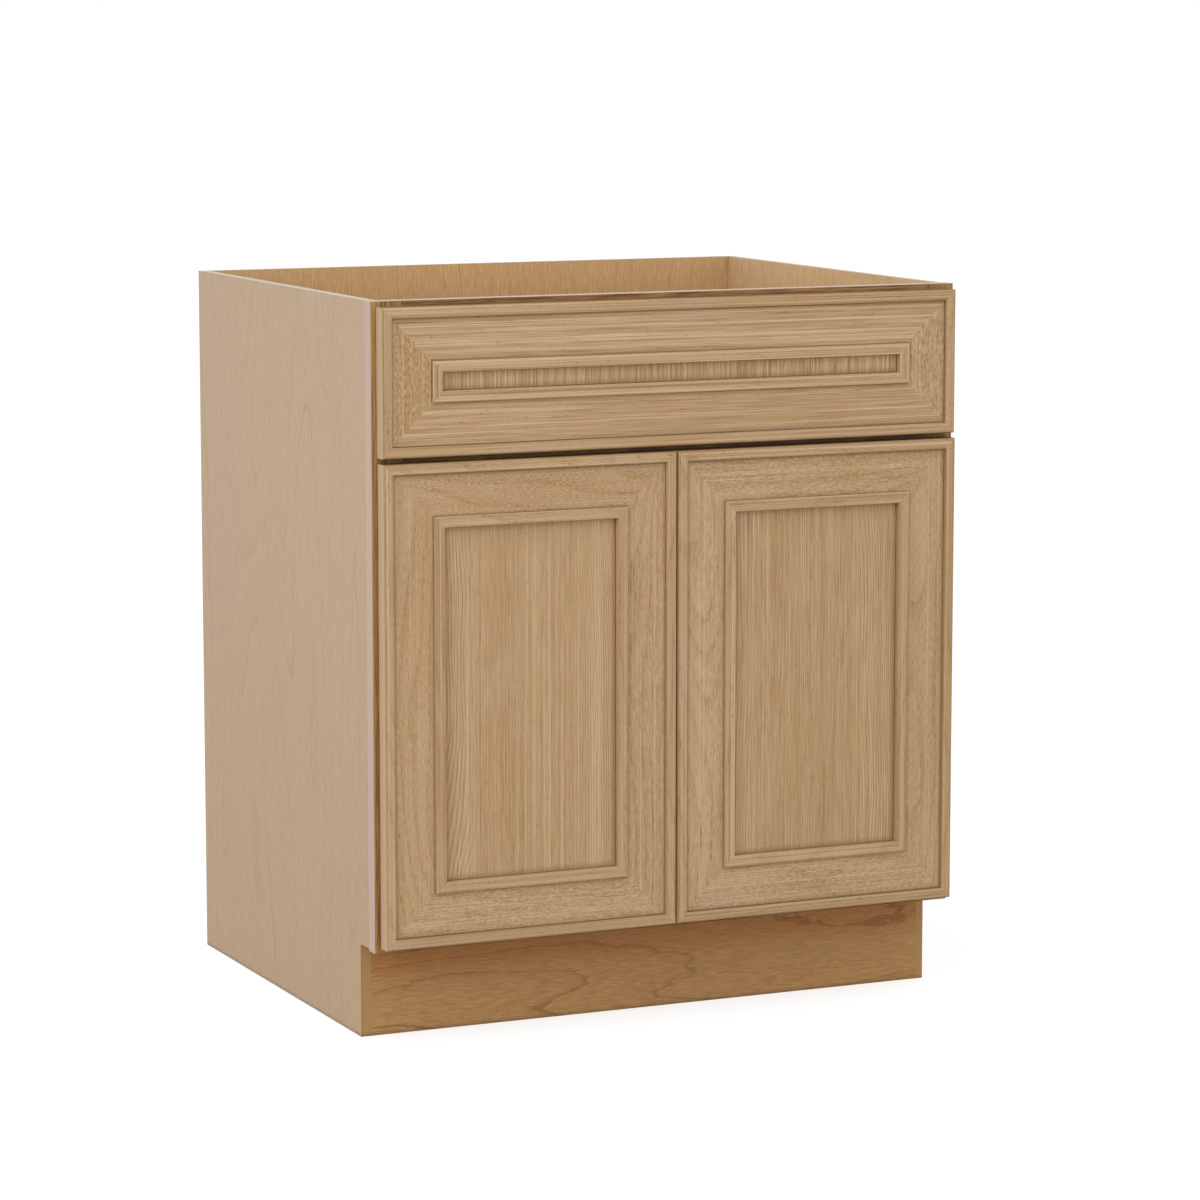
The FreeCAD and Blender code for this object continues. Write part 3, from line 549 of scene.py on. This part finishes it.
def maple(name, light, dark, vein, board, look, bands=(), rough=0.42, painted_light_tints=(FLOOR_PAINTED_SHADOW,)):
    """Smooth maple: thin growth lines like contours, fine fibres and short flecks.

    Bands are faces past some coordinates, such as sawn edges, each with its own colour. The
    colours multiplied in by height are painted light and shade.
    """
    wood = Finish(name, Specular_IOR_Level=0.3)
    place = wood.moved(wood.place, *board.shift)
    along, over, lift = look.flow
    flow = wood.noise(place, board.scales(along, over), detail=1.0, distortion=0.3)
    ripple = wood.noise(place, board.scales(*MAPLE_RIPPLE), detail=3.0, roughness=0.6)
    rings = (wood.part(board.across) * look.rings + (flow - 0.5) * lift
             + (ripple - 0.5) * look.ripple)
    first, second = rings.fraction(), (rings * FAINT_LINES + ripple * 0.7).fraction()
    drop = first.ease(1.0, 0.98)
    late = first.ease(look.thin, 0.97) * drop + first.ease(0.3, 0.9) * drop * 0.15
    close = second.ease(0.4, 0.9) * second.ease(1.0, 0.93)
    fibre = wood.noise(place, board.scales(look.dash, MAPLE_FIBRES), detail=1.0)
    cloud = wood.noise(place, board.scales(*MAPLE_CLOUD), detail=3.0)
    fleck = wood.noise(place, board.scales(*MAPLE_FLECK), detail=0.0).ease(0.6, 0.75)
    tone = 0.5 + (fibre - 0.5) * look.fibre + (cloud - 0.5) * look.cloud
    colour = wood.ramp(tone, (0.0, dark), (1.0, light))
    share = late * look.veins + close * look.fine
    colour = wood.mix(share * (0.3 + cloud * 1.4), colour, vein)
    colour = wood.mix(fleck * look.fleck, colour, vein)
    for limits, band in bands:
        specks = wood.noise(wood.place, [EDGE_SPECKS] * 3)
        sawn = wood.mix((specks - 0.3) * 0.5, band, dark)
        colour = wood.mix(wood.faces(limits), colour, sawn)
    # Painted light and shade: colours multiplied in towards a height
    for start, end, tint in painted_light_tints:
        colour = wood.mix(wood.part("Z").ease(start, end), colour, tint, "MULTIPLY")
    wood.set(Base_Color=colour, Roughness=rough + (cloud - 0.5) * 0.12)
    wood.bump(fibre * 0.4 - late * 0.5, 0.12, 0.2 * MM)
    return wood.material


# Features to the metre: the faint clouds of plastic, the rolling marks of metal along and
# across, and its dull spots
PLASTIC_CLOUD = 30.0
MARKS_ALONG = 60.0
MARKS_ACROSS = 1500.0
METAL_SPOTS = 120.0


def speckled(name, colour, second, scale, rough, bumps, **constants):
    """Moulded plastic, rubber or an enamel coat, with faint clouds of a second colour.

    scale is how many grains its skin has to the metre, and bumps how far they stand out.
    """
    skin = Finish(name, **constants)
    grain = skin.noise(skin.place, [scale] * 3, detail=3.0)
    cloud = skin.noise(skin.place, [PLASTIC_CLOUD] * 3, detail=3.0)
    skin.set(
        Base_Color=skin.mix((cloud - 0.35) * 0.8, colour, second),
        Roughness=rough + (cloud - 0.5) * 0.2,
    )
    skin.bump(grain, bumps, 0.1 * MM)
    return skin.material


def plated(name, colour, dull, along):
    """Nickel-plated pressed steel with rolling marks along one axis and dull spots."""
    metal = Finish(name, Metallic=1.0)
    scales = [MARKS_ALONG if letter == along else MARKS_ACROSS for letter in AXES]
    marks = metal.noise(metal.place, scales)
    spots = metal.noise(metal.place, [METAL_SPOTS] * 3, detail=4.0, roughness=0.65)
    metal.set(
        Base_Color=metal.mix(spots.ease(0.5, 0.75), colour, dull),
        Roughness=0.24 + (marks - 0.5) * 0.25 + spots.ease(0.5, 0.8) * 0.2,
    )
    metal.bump(marks, 0.12, 0.05 * MM)
    return metal.material


# Making and placing the pieces

def dress(material, *names):
    """Gives CAD nodes a finish."""
    for name in names:
        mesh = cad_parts[name].data
        mesh.materials.clear()
        mesh.materials.append(material)


def settle(name, shape, material, body):
    """Turns a bmesh into a piece that rides on a body."""
    mesh = bpy.data.meshes.new(name)
    bmesh.ops.recalc_face_normals(shape, faces=shape.faces)
    shape.to_mesh(mesh)
    shape.free()
    mesh.shade_smooth()
    mesh.set_sharp_from_angle(angle=SHARP_ANGLE)
    mesh.materials.append(material)
    piece = bpy.data.objects.new(name, mesh)
    bpy.context.scene.collection.objects.link(piece)
    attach(piece, body)
    return piece


def facing(place, way):
    """A matrix that puts what is built along +Z at a place, pointing along a direction."""
    return Matrix.Translation(place) @ Vector(way).to_track_quat("Z", "Y").to_matrix().to_4x4()


def disc(radius, top, height, soft, steps, sides):
    """A short round pad on the plane z = 0, its upper rim rounded."""
    shape = bmesh.new()
    bmesh.ops.create_cone(shape, cap_ends=True, segments=sides, radius1=radius, radius2=top,
                          depth=height)
    bmesh.ops.translate(shape, verts=shape.verts, vec=(0, 0, height / 2))
    rim = [edge for edge in shape.edges if all(v.co.z > height / 2 for v in edge.verts)]
    bmesh.ops.bevel(shape, geom=rim, offset=soft, segments=steps, profile=0.5,
                    affect="EDGES", material=-1)
    return shape


def screw_head(radius, height):
    """A pan head with a cross recess."""
    top, soft, sink = radius * 0.86, height * 0.42, height * 0.6
    arm, half = radius * 0.5, radius * 0.11
    shape = disc(radius, top, height, soft, steps=3, sides=20)
    for normal in ((1, 0, 0), (0, 1, 0)):
        for distance in (-arm, -half, half, arm):
            geometry = [*shape.verts, *shape.edges, *shape.faces]
            bmesh.ops.bisect_plane(shape, geom=geometry, dist=1e-7,
                                   plane_co=Vector(normal) * distance, plane_no=normal)
    cross = []
    for face in shape.faces:
        middle = face.calc_center_median()
        near, far = sorted((abs(middle.x), abs(middle.y)))
        if middle.z > height * 0.99 and near < half and far < arm:
            cross.append(face)
    sunk = bmesh.ops.extrude_face_region(shape, geom=cross)["geom"]
    bmesh.ops.delete(shape, geom=cross, context="FACES_ONLY")
    floor = [vert for vert in sunk if isinstance(vert, bmesh.types.BMVert)]
    bmesh.ops.translate(shape, verts=floor, vec=(0, 0, -sink))
    return shape


def copies(pattern, matrices):
    """One bmesh with a copy of a pattern at each matrix."""
    mesh = bpy.data.meshes.new("pattern")
    pattern.to_mesh(mesh)
    pattern.free()
    shape = bmesh.new()
    for matrix in matrices:
        first = len(shape.verts)
        shape.from_mesh(mesh)
        shape.verts.ensure_lookup_table()
        bmesh.ops.transform(shape, matrix=matrix, verts=shape.verts[first:])
    bpy.data.meshes.remove(mesh)
    return shape


def screws(name, places, way, body, material, radius, height):
    """One piece of several screw heads that point the same way."""
    shape = copies(screw_head(radius, height), [facing(place, way) for place in places])
    settle(name, shape, material, body)


def domes(name, node, places, radius, height, body, material):
    """Soft bumpers on the back of a front, in place of the node's plain pads."""
    top, soft = radius * 0.92, height * 0.7
    dome = disc(radius, top, height, soft, steps=4, sides=28)
    shape = copies(dome, [facing(place, (0, 1, 0)) for place in places])
    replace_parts(settle(name, shape, material, body), node)


def middle_of(node):
    low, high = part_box(node)
    return (low + high) / 2


# The settings in the sidebar

def colour_property(name, description, default):
    return bpy.props.FloatVectorProperty(
        name=name, description=description, default=default, subtype="COLOR", size=3,
        min=0.0, max=1.0,
    )


class CABINET_PG_colours(bpy.types.PropertyGroup):
    """Base colours of the finishes."""

    oak_light: colour_property("Oak, light", "Light streaks of the oak", (0.610, 0.430, 0.276))
    oak_mid: colour_property("Oak", "Main colour of the oak", (0.466, 0.308, 0.166))
    oak_dark: colour_property("Oak, dark", "Dark streaks of the oak", (0.312, 0.182, 0.070))
    oak_hair: colour_property("Oak, fine lines", "Fine light lines of the oak",
                              (0.740, 0.570, 0.410))
    oak_ray: colour_property("Oak rays", "Pinkish rays of the oak", (0.560, 0.385, 0.270))
    oak_green: colour_property("Oak, greenish", "Greenish patches", (0.440, 0.310, 0.130))
    oak_pore: colour_property("Oak pores", "Pores of the oak", (0.180, 0.095, 0.036))
    # Painted shade: the colour that the fronts' creases, corners and rounded edges are darkened to
    oak_painted_shade: colour_property("Oak corners", "Finish in the corners", (0.170, 0.090, 0.028))
    edge_tan: colour_property("Oak edges", "Upright outer edges of the fronts",
                              (0.545, 0.382, 0.252))
    # Painted shade: the level rims of the fronts are a dark brown in place of the shade on them
    edge_painted_shade: colour_property("Oak edges, level", "Level outer edges of the fronts",
                                (0.225, 0.102, 0.026))
    # Painted shade in part: the frame is darker and redder than the doors, for the shade around
    # the fronts
    strip_light: colour_property("Frame, light", "Frame, light streaks", (0.450, 0.275, 0.112))
    strip_mid: colour_property("Frame", "Frame, main colour", (0.322, 0.178, 0.054))
    strip_dark: colour_property("Frame, dark", "Frame, dark streaks", (0.150, 0.057, 0.012))
    frame_edge: colour_property("Frame edges", "Smooth outer edges of the frame",
                                (0.535, 0.387, 0.335))
    skin_light: colour_property("End skin, light", "Finished end, light", (0.529, 0.394, 0.268))
    skin_dark: colour_property("End skin, dark", "Finished end, dark", (0.445, 0.314, 0.194))
    skin_vein: colour_property("End skin, lines", "Finished end, lines", (0.340, 0.212, 0.114))
    back_light: colour_property("Back panel, light", "Back, light", (0.665, 0.435, 0.220))
    back_dark: colour_property("Back panel, dark", "Back, dark", (0.525, 0.312, 0.140))
    back_vein: colour_property("Back panel, lines", "Back, lines", (0.380, 0.200, 0.080))
    wall_light: colour_property("Walls, light", "Sides and shelf, light", (0.670, 0.485, 0.275))
    wall_dark: colour_property("Walls, dark", "Sides and shelf, dark", (0.530, 0.347, 0.175))
    wall_vein: colour_property("Walls, lines", "Sides and shelf, lines", (0.390, 0.230, 0.105))
    toe_light: colour_property("Toe board, light", "Toe board, light", (0.535, 0.318, 0.132))
    toe_dark: colour_property("Toe board, dark", "Toe board, dark", (0.412, 0.221, 0.084))
    toe_vein: colour_property("Toe board, lines", "Toe board, lines", (0.230, 0.095, 0.028))
    notch: colour_property("Notch", "Edges of the sides in the toe notch", (0.435, 0.256, 0.110))
    edge_cream: colour_property("Board edges", "Sawn edges of the boards", (0.510, 0.425, 0.350))
    edge_band: colour_property("Edge band", "Front edges of the shelf and deck",
                               (0.640, 0.450, 0.270))
    birch_light: colour_property("Drawer, light", "Drawer box, light", (0.700, 0.560, 0.390))
    birch_dark: colour_property("Drawer, dark", "Drawer box, dark", (0.600, 0.450, 0.290))
    birch_vein: colour_property("Drawer, lines", "Drawer box, lines", (0.470, 0.320, 0.190))
    birch_end: colour_property("Drawer, end grain", "Drawer box, end grain", (0.500, 0.345, 0.205))
    enamel: colour_property("Slide enamel", "Coat of the slides", (0.780, 0.770, 0.720))
    nylon: colour_property("Nylon", "Rollers and sockets", (0.740, 0.730, 0.690))
    nickel: colour_property("Nickel", "Hinges and screws", (0.640, 0.620, 0.580))
    rubber: colour_property("Bumpers", "Soft bumpers", (0.660, 0.660, 0.640))


class CABINET_PG_hardware(bpy.types.PropertyGroup):
    """Sizes of the screws and bumpers."""

    head_radius: bpy.props.FloatProperty(
        name="Screw head radius", description="Radius of the hinges' and runners' screw heads",
        default=3.1 * MM, min=1.0 * MM, unit="LENGTH")
    head_height: bpy.props.FloatProperty(
        name="Screw head height", description="Height of the hinges' and runners' screw heads",
        default=1.5 * MM, min=0.5 * MM, unit="LENGTH")
    bumper_radius: bpy.props.FloatProperty(
        name="Bumper radius", description="Radius of a bumper",
        default=5.0 * MM, min=1.0 * MM, unit="LENGTH")


class CABINET_PG_stage(bpy.types.PropertyGroup):
    """Camera, lamps and floor."""

    lens: bpy.props.FloatProperty(
        name="Lens", description="Focal length for a 36 mm sensor", default=130.04, min=10.0,
        unit="CAMERA")
    camera_place: bpy.props.FloatVectorProperty(
        name="Camera", description="Where the camera stands", size=3,
        default=(-2.19438, -4.93070, 1.23190), subtype="TRANSLATION", unit="LENGTH")
    camera_turn: bpy.props.FloatProperty(
        name="Turn", description="How far the camera looks towards the right",
        default=math.radians(24.38), unit="ROTATION")
    camera_tilt: bpy.props.FloatProperty(
        name="Tilt", description="How far the camera looks down",
        default=math.radians(8.027), unit="ROTATION")
    sky: bpy.props.FloatProperty(
        name="Sky", description="Strength of the even light from all round",
        default=0.87, min=0.0)
    key: bpy.props.FloatProperty(
        name="Key lamp", description="Power of the soft lamp on the left",
        default=60.0, min=0.0, unit="POWER")
    overhead: bpy.props.FloatProperty(
        name="Overhead lamp", description="Power of the soft lamp above the front",
        default=22.0, min=0.0, unit="POWER")
    floor_reach: bpy.props.FloatProperty(
        name="Floor", description="Distance from the middle to the floor's edge",
        default=40.0, min=2.0, unit="LENGTH")


# The operators, in the order in which they run

class CabinetOperator:
    """What the operators of this file share."""

    bl_options = {"REGISTER", "UNDO"}

    def colours(self, context):
        return context.scene.cabinet_colours


class CABINET_OT_fronts(CabinetOperator, bpy.types.Operator):
    """Oak for the doors and the drawer front, each member along its own length"""

    bl_idname = "cabinet.fronts"
    bl_label = "Doors and drawer front"

    def execute(self, context):
        colours = self.colours(context)
        dice = random.Random(FRONTS_SEED)
        cuts = {"drawer_front": (LONG_CUT, DOTTED_CUT, SHORT_PANEL_CUT),
                "door_left": (RAIL_CUT, STILE_CUT, PANEL_CUT),
                "door_right": (RAIL_CUT, STILE_CUT, PANEL_CUT)}
        for front, (rail_cut, stile_cut, panel_cut) in cuts.items():
            centre = middle_of(f"{front}_panel")
            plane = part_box(f"{front}_top_rail")[0].y
            hole = {}
            for member in ("bottom_rail", "top_rail", "outer_stile", "inner_stile"):
                node = f"{front}_{member}"
                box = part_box(node)
                rail = member.endswith("rail")
                grain, across = ("X", "Z") if rail else ("Z", "X")
                index = AXES.index(across)
                low, high = box[0][index], box[1][index]
                first = (low + high) / 2 < centre[index]
                edge = (low, 1.0) if first else (high, -1.0)
                hole[across, first] = high if first else low
                # On rails the rim is painted shade in a dark brown; on stiles it is a plain tan
                rim = ([(across, edge[0] + edge[1] * SKIN_DEPTH, -edge[1])],
                       colours.edge_painted_shade if rail else colours.edge_tan)
                board = Board(dice, grain, across, (low + high) / 2,
                              rail_cut if rail else stile_cut)
                dress(oak(f"oak_{node}", colours, board, edge, face=plane, bands=[rim]), node)
            board = Board(dice, "Z", "X", centre.x, panel_cut)
            opening = [hole[across, first] for across in "XZ" for first in (True, False)]
            dress(oak(f"oak_{front}_panel", colours, board, hole=opening, face=plane),
                  f"{front}_panel")
        return {"FINISHED"}


class CABINET_OT_face_frame(CabinetOperator, bpy.types.Operator):
    """Oak for the face frame, with smooth outer edges"""

    bl_idname = "cabinet.face_frame"
    bl_label = "Face frame"

    def execute(self, context):
        colours = self.colours(context)
        dice = random.Random(FRAME_SEED)
        for node in ("frame_top_rail", "frame_middle_rail", "frame_bottom_rail",
                     "frame_stile_left", "frame_stile_right"):
            low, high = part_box(node)
            bands = [([("Z", CAD_BOX[1].z - SKIN_DEPTH, 1)], colours.frame_edge)]
            if "left" in node:
                bands.append(([("X", low.x + SKIN_DEPTH, -1)], colours.frame_edge))
            if "right" in node:
                bands.append(([("X", high.x - SKIN_DEPTH, 1)], colours.frame_edge))
            middle = (low + high) / 2
            # The frame is painted darker than the doors as shade, its rails most
            board = (Board(dice, "X", "Z", middle.z, RAIL_STRIP_CUT) if node.endswith("rail")
                     else Board(dice, "Z", "X", middle.x, STRIP_CUT))
            dress(oak(f"oak_{node}", colours, board, bands=bands, palette="strip"), node)
        return {"FINISHED"}


class CABINET_OT_case(CabinetOperator, bpy.types.Operator):
    """Maple for the sides, back, deck, shelf, braces and toe board"""

    bl_idname = "cabinet.case"
    bl_label = "Case boards"

    def execute(self, context):
        colours = self.colours(context)
        dice = random.Random(CASE_SEED)
        top = CAD_BOX[1].z - SKIN_DEPTH
        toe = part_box("toe_board")[0].y
        notch = [("Y", toe + SKIN_DEPTH, -1), ("Z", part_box("frame_bottom_rail")[0].z, -1)]
        cream = [([("Z", top, 1)], colours.edge_cream), (notch, colours.notch)]
        skin = Board.plain(dice, "Z", "Y")
        # The finished end gets painted warm bounce light downwards and a painted shadow at the
        # floor
        dress(maple("maple_end_skin", colours.skin_light, colours.skin_dark, colours.skin_vein,
                    skin, END_SKIN, bands=cream, painted_light_tints=(SKIN_PAINTED_BOUNCE, FLOOR_PAINTED_SHADOW)), "finished_end")
        back = (colours.back_light, colours.back_dark, colours.back_vein)
        wall = (colours.wall_light, colours.wall_dark, colours.wall_vein)
        for node, across, tones in (("side_panel_left", "Y", wall),
                                    ("side_panel_right", "Y", wall), ("back_panel", "X", back)):
            board = Board.plain(dice, "Z", across)
            bands = list(cream)
            if node == "back_panel":
                low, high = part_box(node)
                bands.append(([("X", high.x - JOINT_LINE, 1)], colours.back_vein))
                bands.append(([("X", low.x + JOINT_LINE, -1)], colours.back_vein))
            dress(maple(f"maple_{node}", *tones, board, INNER_BOARD, bands=bands), node)
        for node in ("bottom_panel", "adjustable_shelf"):
            low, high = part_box(node)
            edges = [([("Y", low.y + SKIN_DEPTH, -1)], colours.edge_band)]
            board = Board.plain(dice, "X", "Y")
            dress(maple(f"maple_{node}", *wall, board, INNER_BOARD, bands=edges), node)
        for node in ("corner_brace_left", "corner_brace_right"):
            board = Board.plain(dice, "X", "Y")
            dress(maple(f"maple_{node}", *wall, board, INNER_BOARD), node)
        toe_board = Board.plain(dice, "X", "Z")
        # The toe board gets painted warm shade under the doors and a painted shadow at the floor
        dress(maple("maple_toe_board", colours.toe_light, colours.toe_dark, colours.toe_vein,
                    toe_board, TOE_BOARD, painted_light_tints=(TOE_PAINTED_SHADE, FLOOR_PAINTED_SHADOW)), "toe_board")
        return {"FINISHED"}


class CABINET_OT_drawer_box(CabinetOperator, bpy.types.Operator):
    """Birch for the drawer box"""

    bl_idname = "cabinet.drawer_box"
    bl_label = "Drawer box"

    def execute(self, context):
        colours = self.colours(context)
        birch = (colours.birch_light, colours.birch_dark, colours.birch_vein)
        dice = random.Random(DRAWER_SEED)
        for node, grain, across in (
            ("drawer_side_left", "Y", "Z"), ("drawer_side_right", "Y", "Z"),
            ("drawer_box_front", "X", "Z"), ("drawer_box_back", "X", "Z"),
            ("drawer_bottom", "X", "Y"),
        ):
            board = Board.plain(dice, grain, across)
            first, last = (corner[AXES.index(grain)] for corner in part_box(node))
            ends = [([(grain, first + SKIN_DEPTH, -1)], colours.birch_end),
                    ([(grain, last - SKIN_DEPTH, 1)], colours.birch_end)]
            dress(maple(f"birch_{node}", *birch, board, BIRCH_PLY, bands=ends, rough=0.5), node)
        return {"FINISHED"}


class CABINET_OT_slides(CabinetOperator, bpy.types.Operator):
    """Enamel, nylon and rivets for the drawer slides, with the screws that hold them"""

    bl_idname = "cabinet.slides"
    bl_label = "Drawer slides"

    def execute(self, context):
        colours = self.colours(context)
        enamel = speckled("slide_enamel", colours.enamel, (0.62, 0.60, 0.55), scale=900.0,
                          rough=0.32, bumps=0.1)
        nylon = speckled("slide_nylon", colours.nylon, (0.66, 0.64, 0.58), scale=500.0,
                         rough=0.45, bumps=0.08, Subsurface_Weight=0.1, Subsurface_Scale=0.002)
        steel = plated("rivet_steel", colours.nickel, (0.42, 0.40, 0.36), "X")
        sides = ("left", "right")
        dress(enamel, *[f"slide_{part}_{side}" for part in ("channel", "runner")
                        for side in sides])
        dress(nylon, *[f"slide_socket_{side}" for side in sides],
              *[f"{end}_roller_{side}" for end in ("front", "rear") for side in sides])
        dress(steel, "front_roller_axles", "rear_roller_axles")
        hardware = context.scene.cabinet_hardware
        radius, height = hardware.head_radius, hardware.head_height
        for side in sides:
            low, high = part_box(f"slide_runner_{side}")
            wood_low, wood_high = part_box(f"drawer_side_{side}")
            x = (wood_low.x + wood_high.x) / 2
            places = [(x, low.y + (high.y - low.y) * share, low.z)
                      for share in RUNNER_SCREWS]
            screws(f"runner_screws_{side}", places, (0, 0, -1), "drawer", steel, radius, height)
        return {"FINISHED"}


class CABINET_OT_hinges(CabinetOperator, bpy.types.Operator):
    """Nickel for the hinges, with their screws"""

    bl_idname = "cabinet.hinges"
    bl_label = "Hinges"

    def execute(self, context):
        colours = self.colours(context)
        nickel = plated("hinge_nickel", colours.nickel, (0.40, 0.38, 0.34), "Z")
        hardware = context.scene.cabinet_hardware
        radius, height = hardware.head_radius, hardware.head_height
        for side, sign in (("left", -1), ("right", 1)):
            dress(nickel, f"hinge_arms_{side}", f"hinge_cups_{side}", f"hinge_pins_{side}")
            stile_low, stile_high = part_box(f"frame_stile_{side}")
            face = (stile_high.x if sign < 0 else stile_low.x) - sign * ARM_PLATE
            arm_low, arm_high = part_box(f"hinge_arms_{side}")
            cup_low, cup_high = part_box(f"hinge_cups_{side}")
            arm_y = arm_high.y - ARM_SCREW_BACK
            cup_x = (cup_low.x + cup_high.x) / 2
            levels = (arm_low.z + ARM_MIDDLE, arm_high.z - ARM_MIDDLE)
            plate = [(face, arm_y, level + lift)
                     for level in levels for lift in (-ARM_SCREW_LIFT, ARM_SCREW_LIFT)]
            screws(f"hinge_arm_screws_{side}", plate, (-sign, 0, 0), "case", nickel, radius,
                   height)
            wings = [(cup_x, cup_high.y, level + lift)
                     for level in levels for lift in (-CUP_SCREW_LIFT, CUP_SCREW_LIFT)]
            screws(f"hinge_cup_screws_{side}", wings, (0, 1, 0), f"door_{side}", nickel,
                   radius * CUP_HEAD, height)
        return {"FINISHED"}


class CABINET_OT_small_parts(CabinetOperator, bpy.types.Operator):
    """Shelf pegs, bumpers and the screws of the drawer front"""

    bl_idname = "cabinet.small_parts"
    bl_label = "Pegs, bumpers and screws"

    def execute(self, context):
        colours = self.colours(context)
        hardware = context.scene.cabinet_hardware
        steel = plated("peg_steel", colours.nickel, (0.44, 0.42, 0.38), "X")
        rubber = speckled("bumper_rubber", colours.rubber, (0.58, 0.58, 0.56), scale=700.0,
                          rough=0.4, bumps=0.05, Subsurface_Weight=0.2, Subsurface_Scale=0.002)
        dress(steel, "shelf_pegs")
        dress(rubber, "door_left_bumpers", "door_right_bumpers", "drawer_front_bumpers")
        radius = hardware.bumper_radius
        for node, body in (("door_left_bumpers", "door_left"),
                           ("door_right_bumpers", "door_right"),
                           ("drawer_front_bumpers", "drawer")):
            low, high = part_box(node)
            if body == "drawer":
                z = (low.z + high.z) / 2
                places = [(low.x + radius, low.y, z), (high.x - radius, low.y, z)]
            else:
                x = (low.x + high.x) / 2
                places = [(x, low.y, low.z + radius), (x, low.y, high.z - radius)]
            domes(f"{node}_soft", node, places, radius, high.y - low.y, body, rubber)
        low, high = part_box("drawer_box_front")
        places = [(x, high.y, z) for x in (-FRONT_SCREW_X, FRONT_SCREW_X)
                  for z in (low.z + FRONT_SCREW_RISE, high.z - FRONT_SCREW_DROP)]
        screws("drawer_front_screws", places, (0, 1, 0), "drawer", steel, *FRONT_HEAD)
        return {"FINISHED"}


class CABINET_OT_stage(CabinetOperator, bpy.types.Operator):
    """Floor, soft lights and the camera"""

    bl_idname = "cabinet.stage"
    bl_label = "Floor, lights and camera"

    def execute(self, context):
        stage = context.scene.cabinet_stage
        context.scene.view_settings.view_transform = "Standard"
        self.sky(context, stage)
        self.floor(context, stage)
        for name, place, size in LAMPS:
            self.lamp(context, name, getattr(stage, name), place, size)
        self.camera(context, stage)
        return {"FINISHED"}

    def sky(self, context, stage):
        world = bpy.data.worlds.new("studio")
        world.use_nodes = True
        tree = Tree(world.node_tree)
        background = world.node_tree.nodes["Background"]
        seen = tree.seen()
        tree.feed(background.inputs["Color"], (1.0, 1.0, 1.0))
        tree.feed(background.inputs["Strength"], seen + (1.0 - seen) * stage.sky)
        context.scene.world = world

    def floor(self, context, stage):
        shape = bmesh.new()
        bmesh.ops.create_grid(shape, x_segments=1, y_segments=1, size=stage.floor_reach)
        mesh = bpy.data.meshes.new("floor")
        shape.to_mesh(mesh)
        shape.free()
        floor = bpy.data.objects.new("floor", mesh)
        context.scene.collection.objects.link(floor)
        paint = Finish("studio_floor")
        cloud = paint.noise(paint.place, [0.7] * 3)
        pale = paint.mix(cloud, *FLOOR_TAN)
        lit = paint.add("ShaderNodeBsdfDiffuse", inputs={"Color": pale})
        dim = paint.add("ShaderNodeBsdfDiffuse", inputs={"Color": FLOOR_GREY})
        glow = paint.add("ShaderNodeEmission", inputs={"Strength": FLOOR_GLOW})
        shown = paint.add("ShaderNodeAddShader", inputs={0: dim, 1: glow})
        mixed = paint.add("ShaderNodeMixShader", inputs={0: paint.seen(), 1: lit, 2: shown})
        out = paint.tree.nodes["Material Output"]
        paint.feed(out.inputs["Surface"], mixed)
        mesh.materials.append(paint.material)

    def lamp(self, context, name, power, place, size):
        """A square soft lamp that looks at the middle of the cabinet."""
        lamp = bpy.data.lights.new(name, "AREA")
        lamp.shape = "SQUARE"
        lamp.size = size
        lamp.energy = power
        holder = bpy.data.objects.new(name, lamp)
        context.scene.collection.objects.link(holder)
        aim = Vector((0, 0, CAD_BOX[1].z / 2))
        holder.location = place
        holder.rotation_euler = (Vector(place) - aim).to_track_quat("Z", "Y").to_euler()

    def camera(self, context, stage):
        data = bpy.data.cameras.new("camera")
        data.sensor_width = 36.0
        data.lens = stage.lens
        data.clip_end = 100.0
        camera = bpy.data.objects.new("camera", data)
        context.scene.collection.objects.link(camera)
        camera.location = stage.camera_place
        camera.rotation_euler = (math.pi / 2 - stage.camera_tilt, 0.0, -stage.camera_turn)
        context.scene.camera = camera


STEPS = (
    CABINET_OT_fronts,
    CABINET_OT_face_frame,
    CABINET_OT_case,
    CABINET_OT_drawer_box,
    CABINET_OT_slides,
    CABINET_OT_hinges,
    CABINET_OT_small_parts,
    CABINET_OT_stage,
)


class CABINET_PT_sidebar(bpy.types.Panel):
    """Lists the steps and the settings of the cabinet"""

    bl_idname = "CABINET_PT_sidebar"
    bl_label = "Cabinet"
    bl_space_type = "VIEW_3D"
    bl_region_type = "UI"
    bl_category = "Cabinet"

    def draw(self, context):
        for step in STEPS:
            self.layout.operator(step.bl_idname)
        for group in (context.scene.cabinet_colours, context.scene.cabinet_hardware,
                      context.scene.cabinet_stage):
            box = self.layout.box()
            for name in group.bl_rna.properties.keys():
                if name not in ("rna_type", "name"):
                    box.prop(group, name)


GROUPS = {
    "cabinet_colours": CABINET_PG_colours,
    "cabinet_hardware": CABINET_PG_hardware,
    "cabinet_stage": CABINET_PG_stage,
}


def register():
    for kind in (*GROUPS.values(), *STEPS, CABINET_PT_sidebar):
        bpy.utils.register_class(kind)
    for name, group in GROUPS.items():
        setattr(bpy.types.Scene, name, bpy.props.PointerProperty(type=group))


def unregister():
    for name in GROUPS:
        delattr(bpy.types.Scene, name)
    for kind in reversed((*GROUPS.values(), *STEPS, CABINET_PT_sidebar)):
        bpy.utils.unregister_class(kind)


def main():
    register()
    for step in STEPS:
        getattr(bpy.ops.cabinet, step.bl_idname.split(".")[1])()


if __name__ == "__main__":
    main()
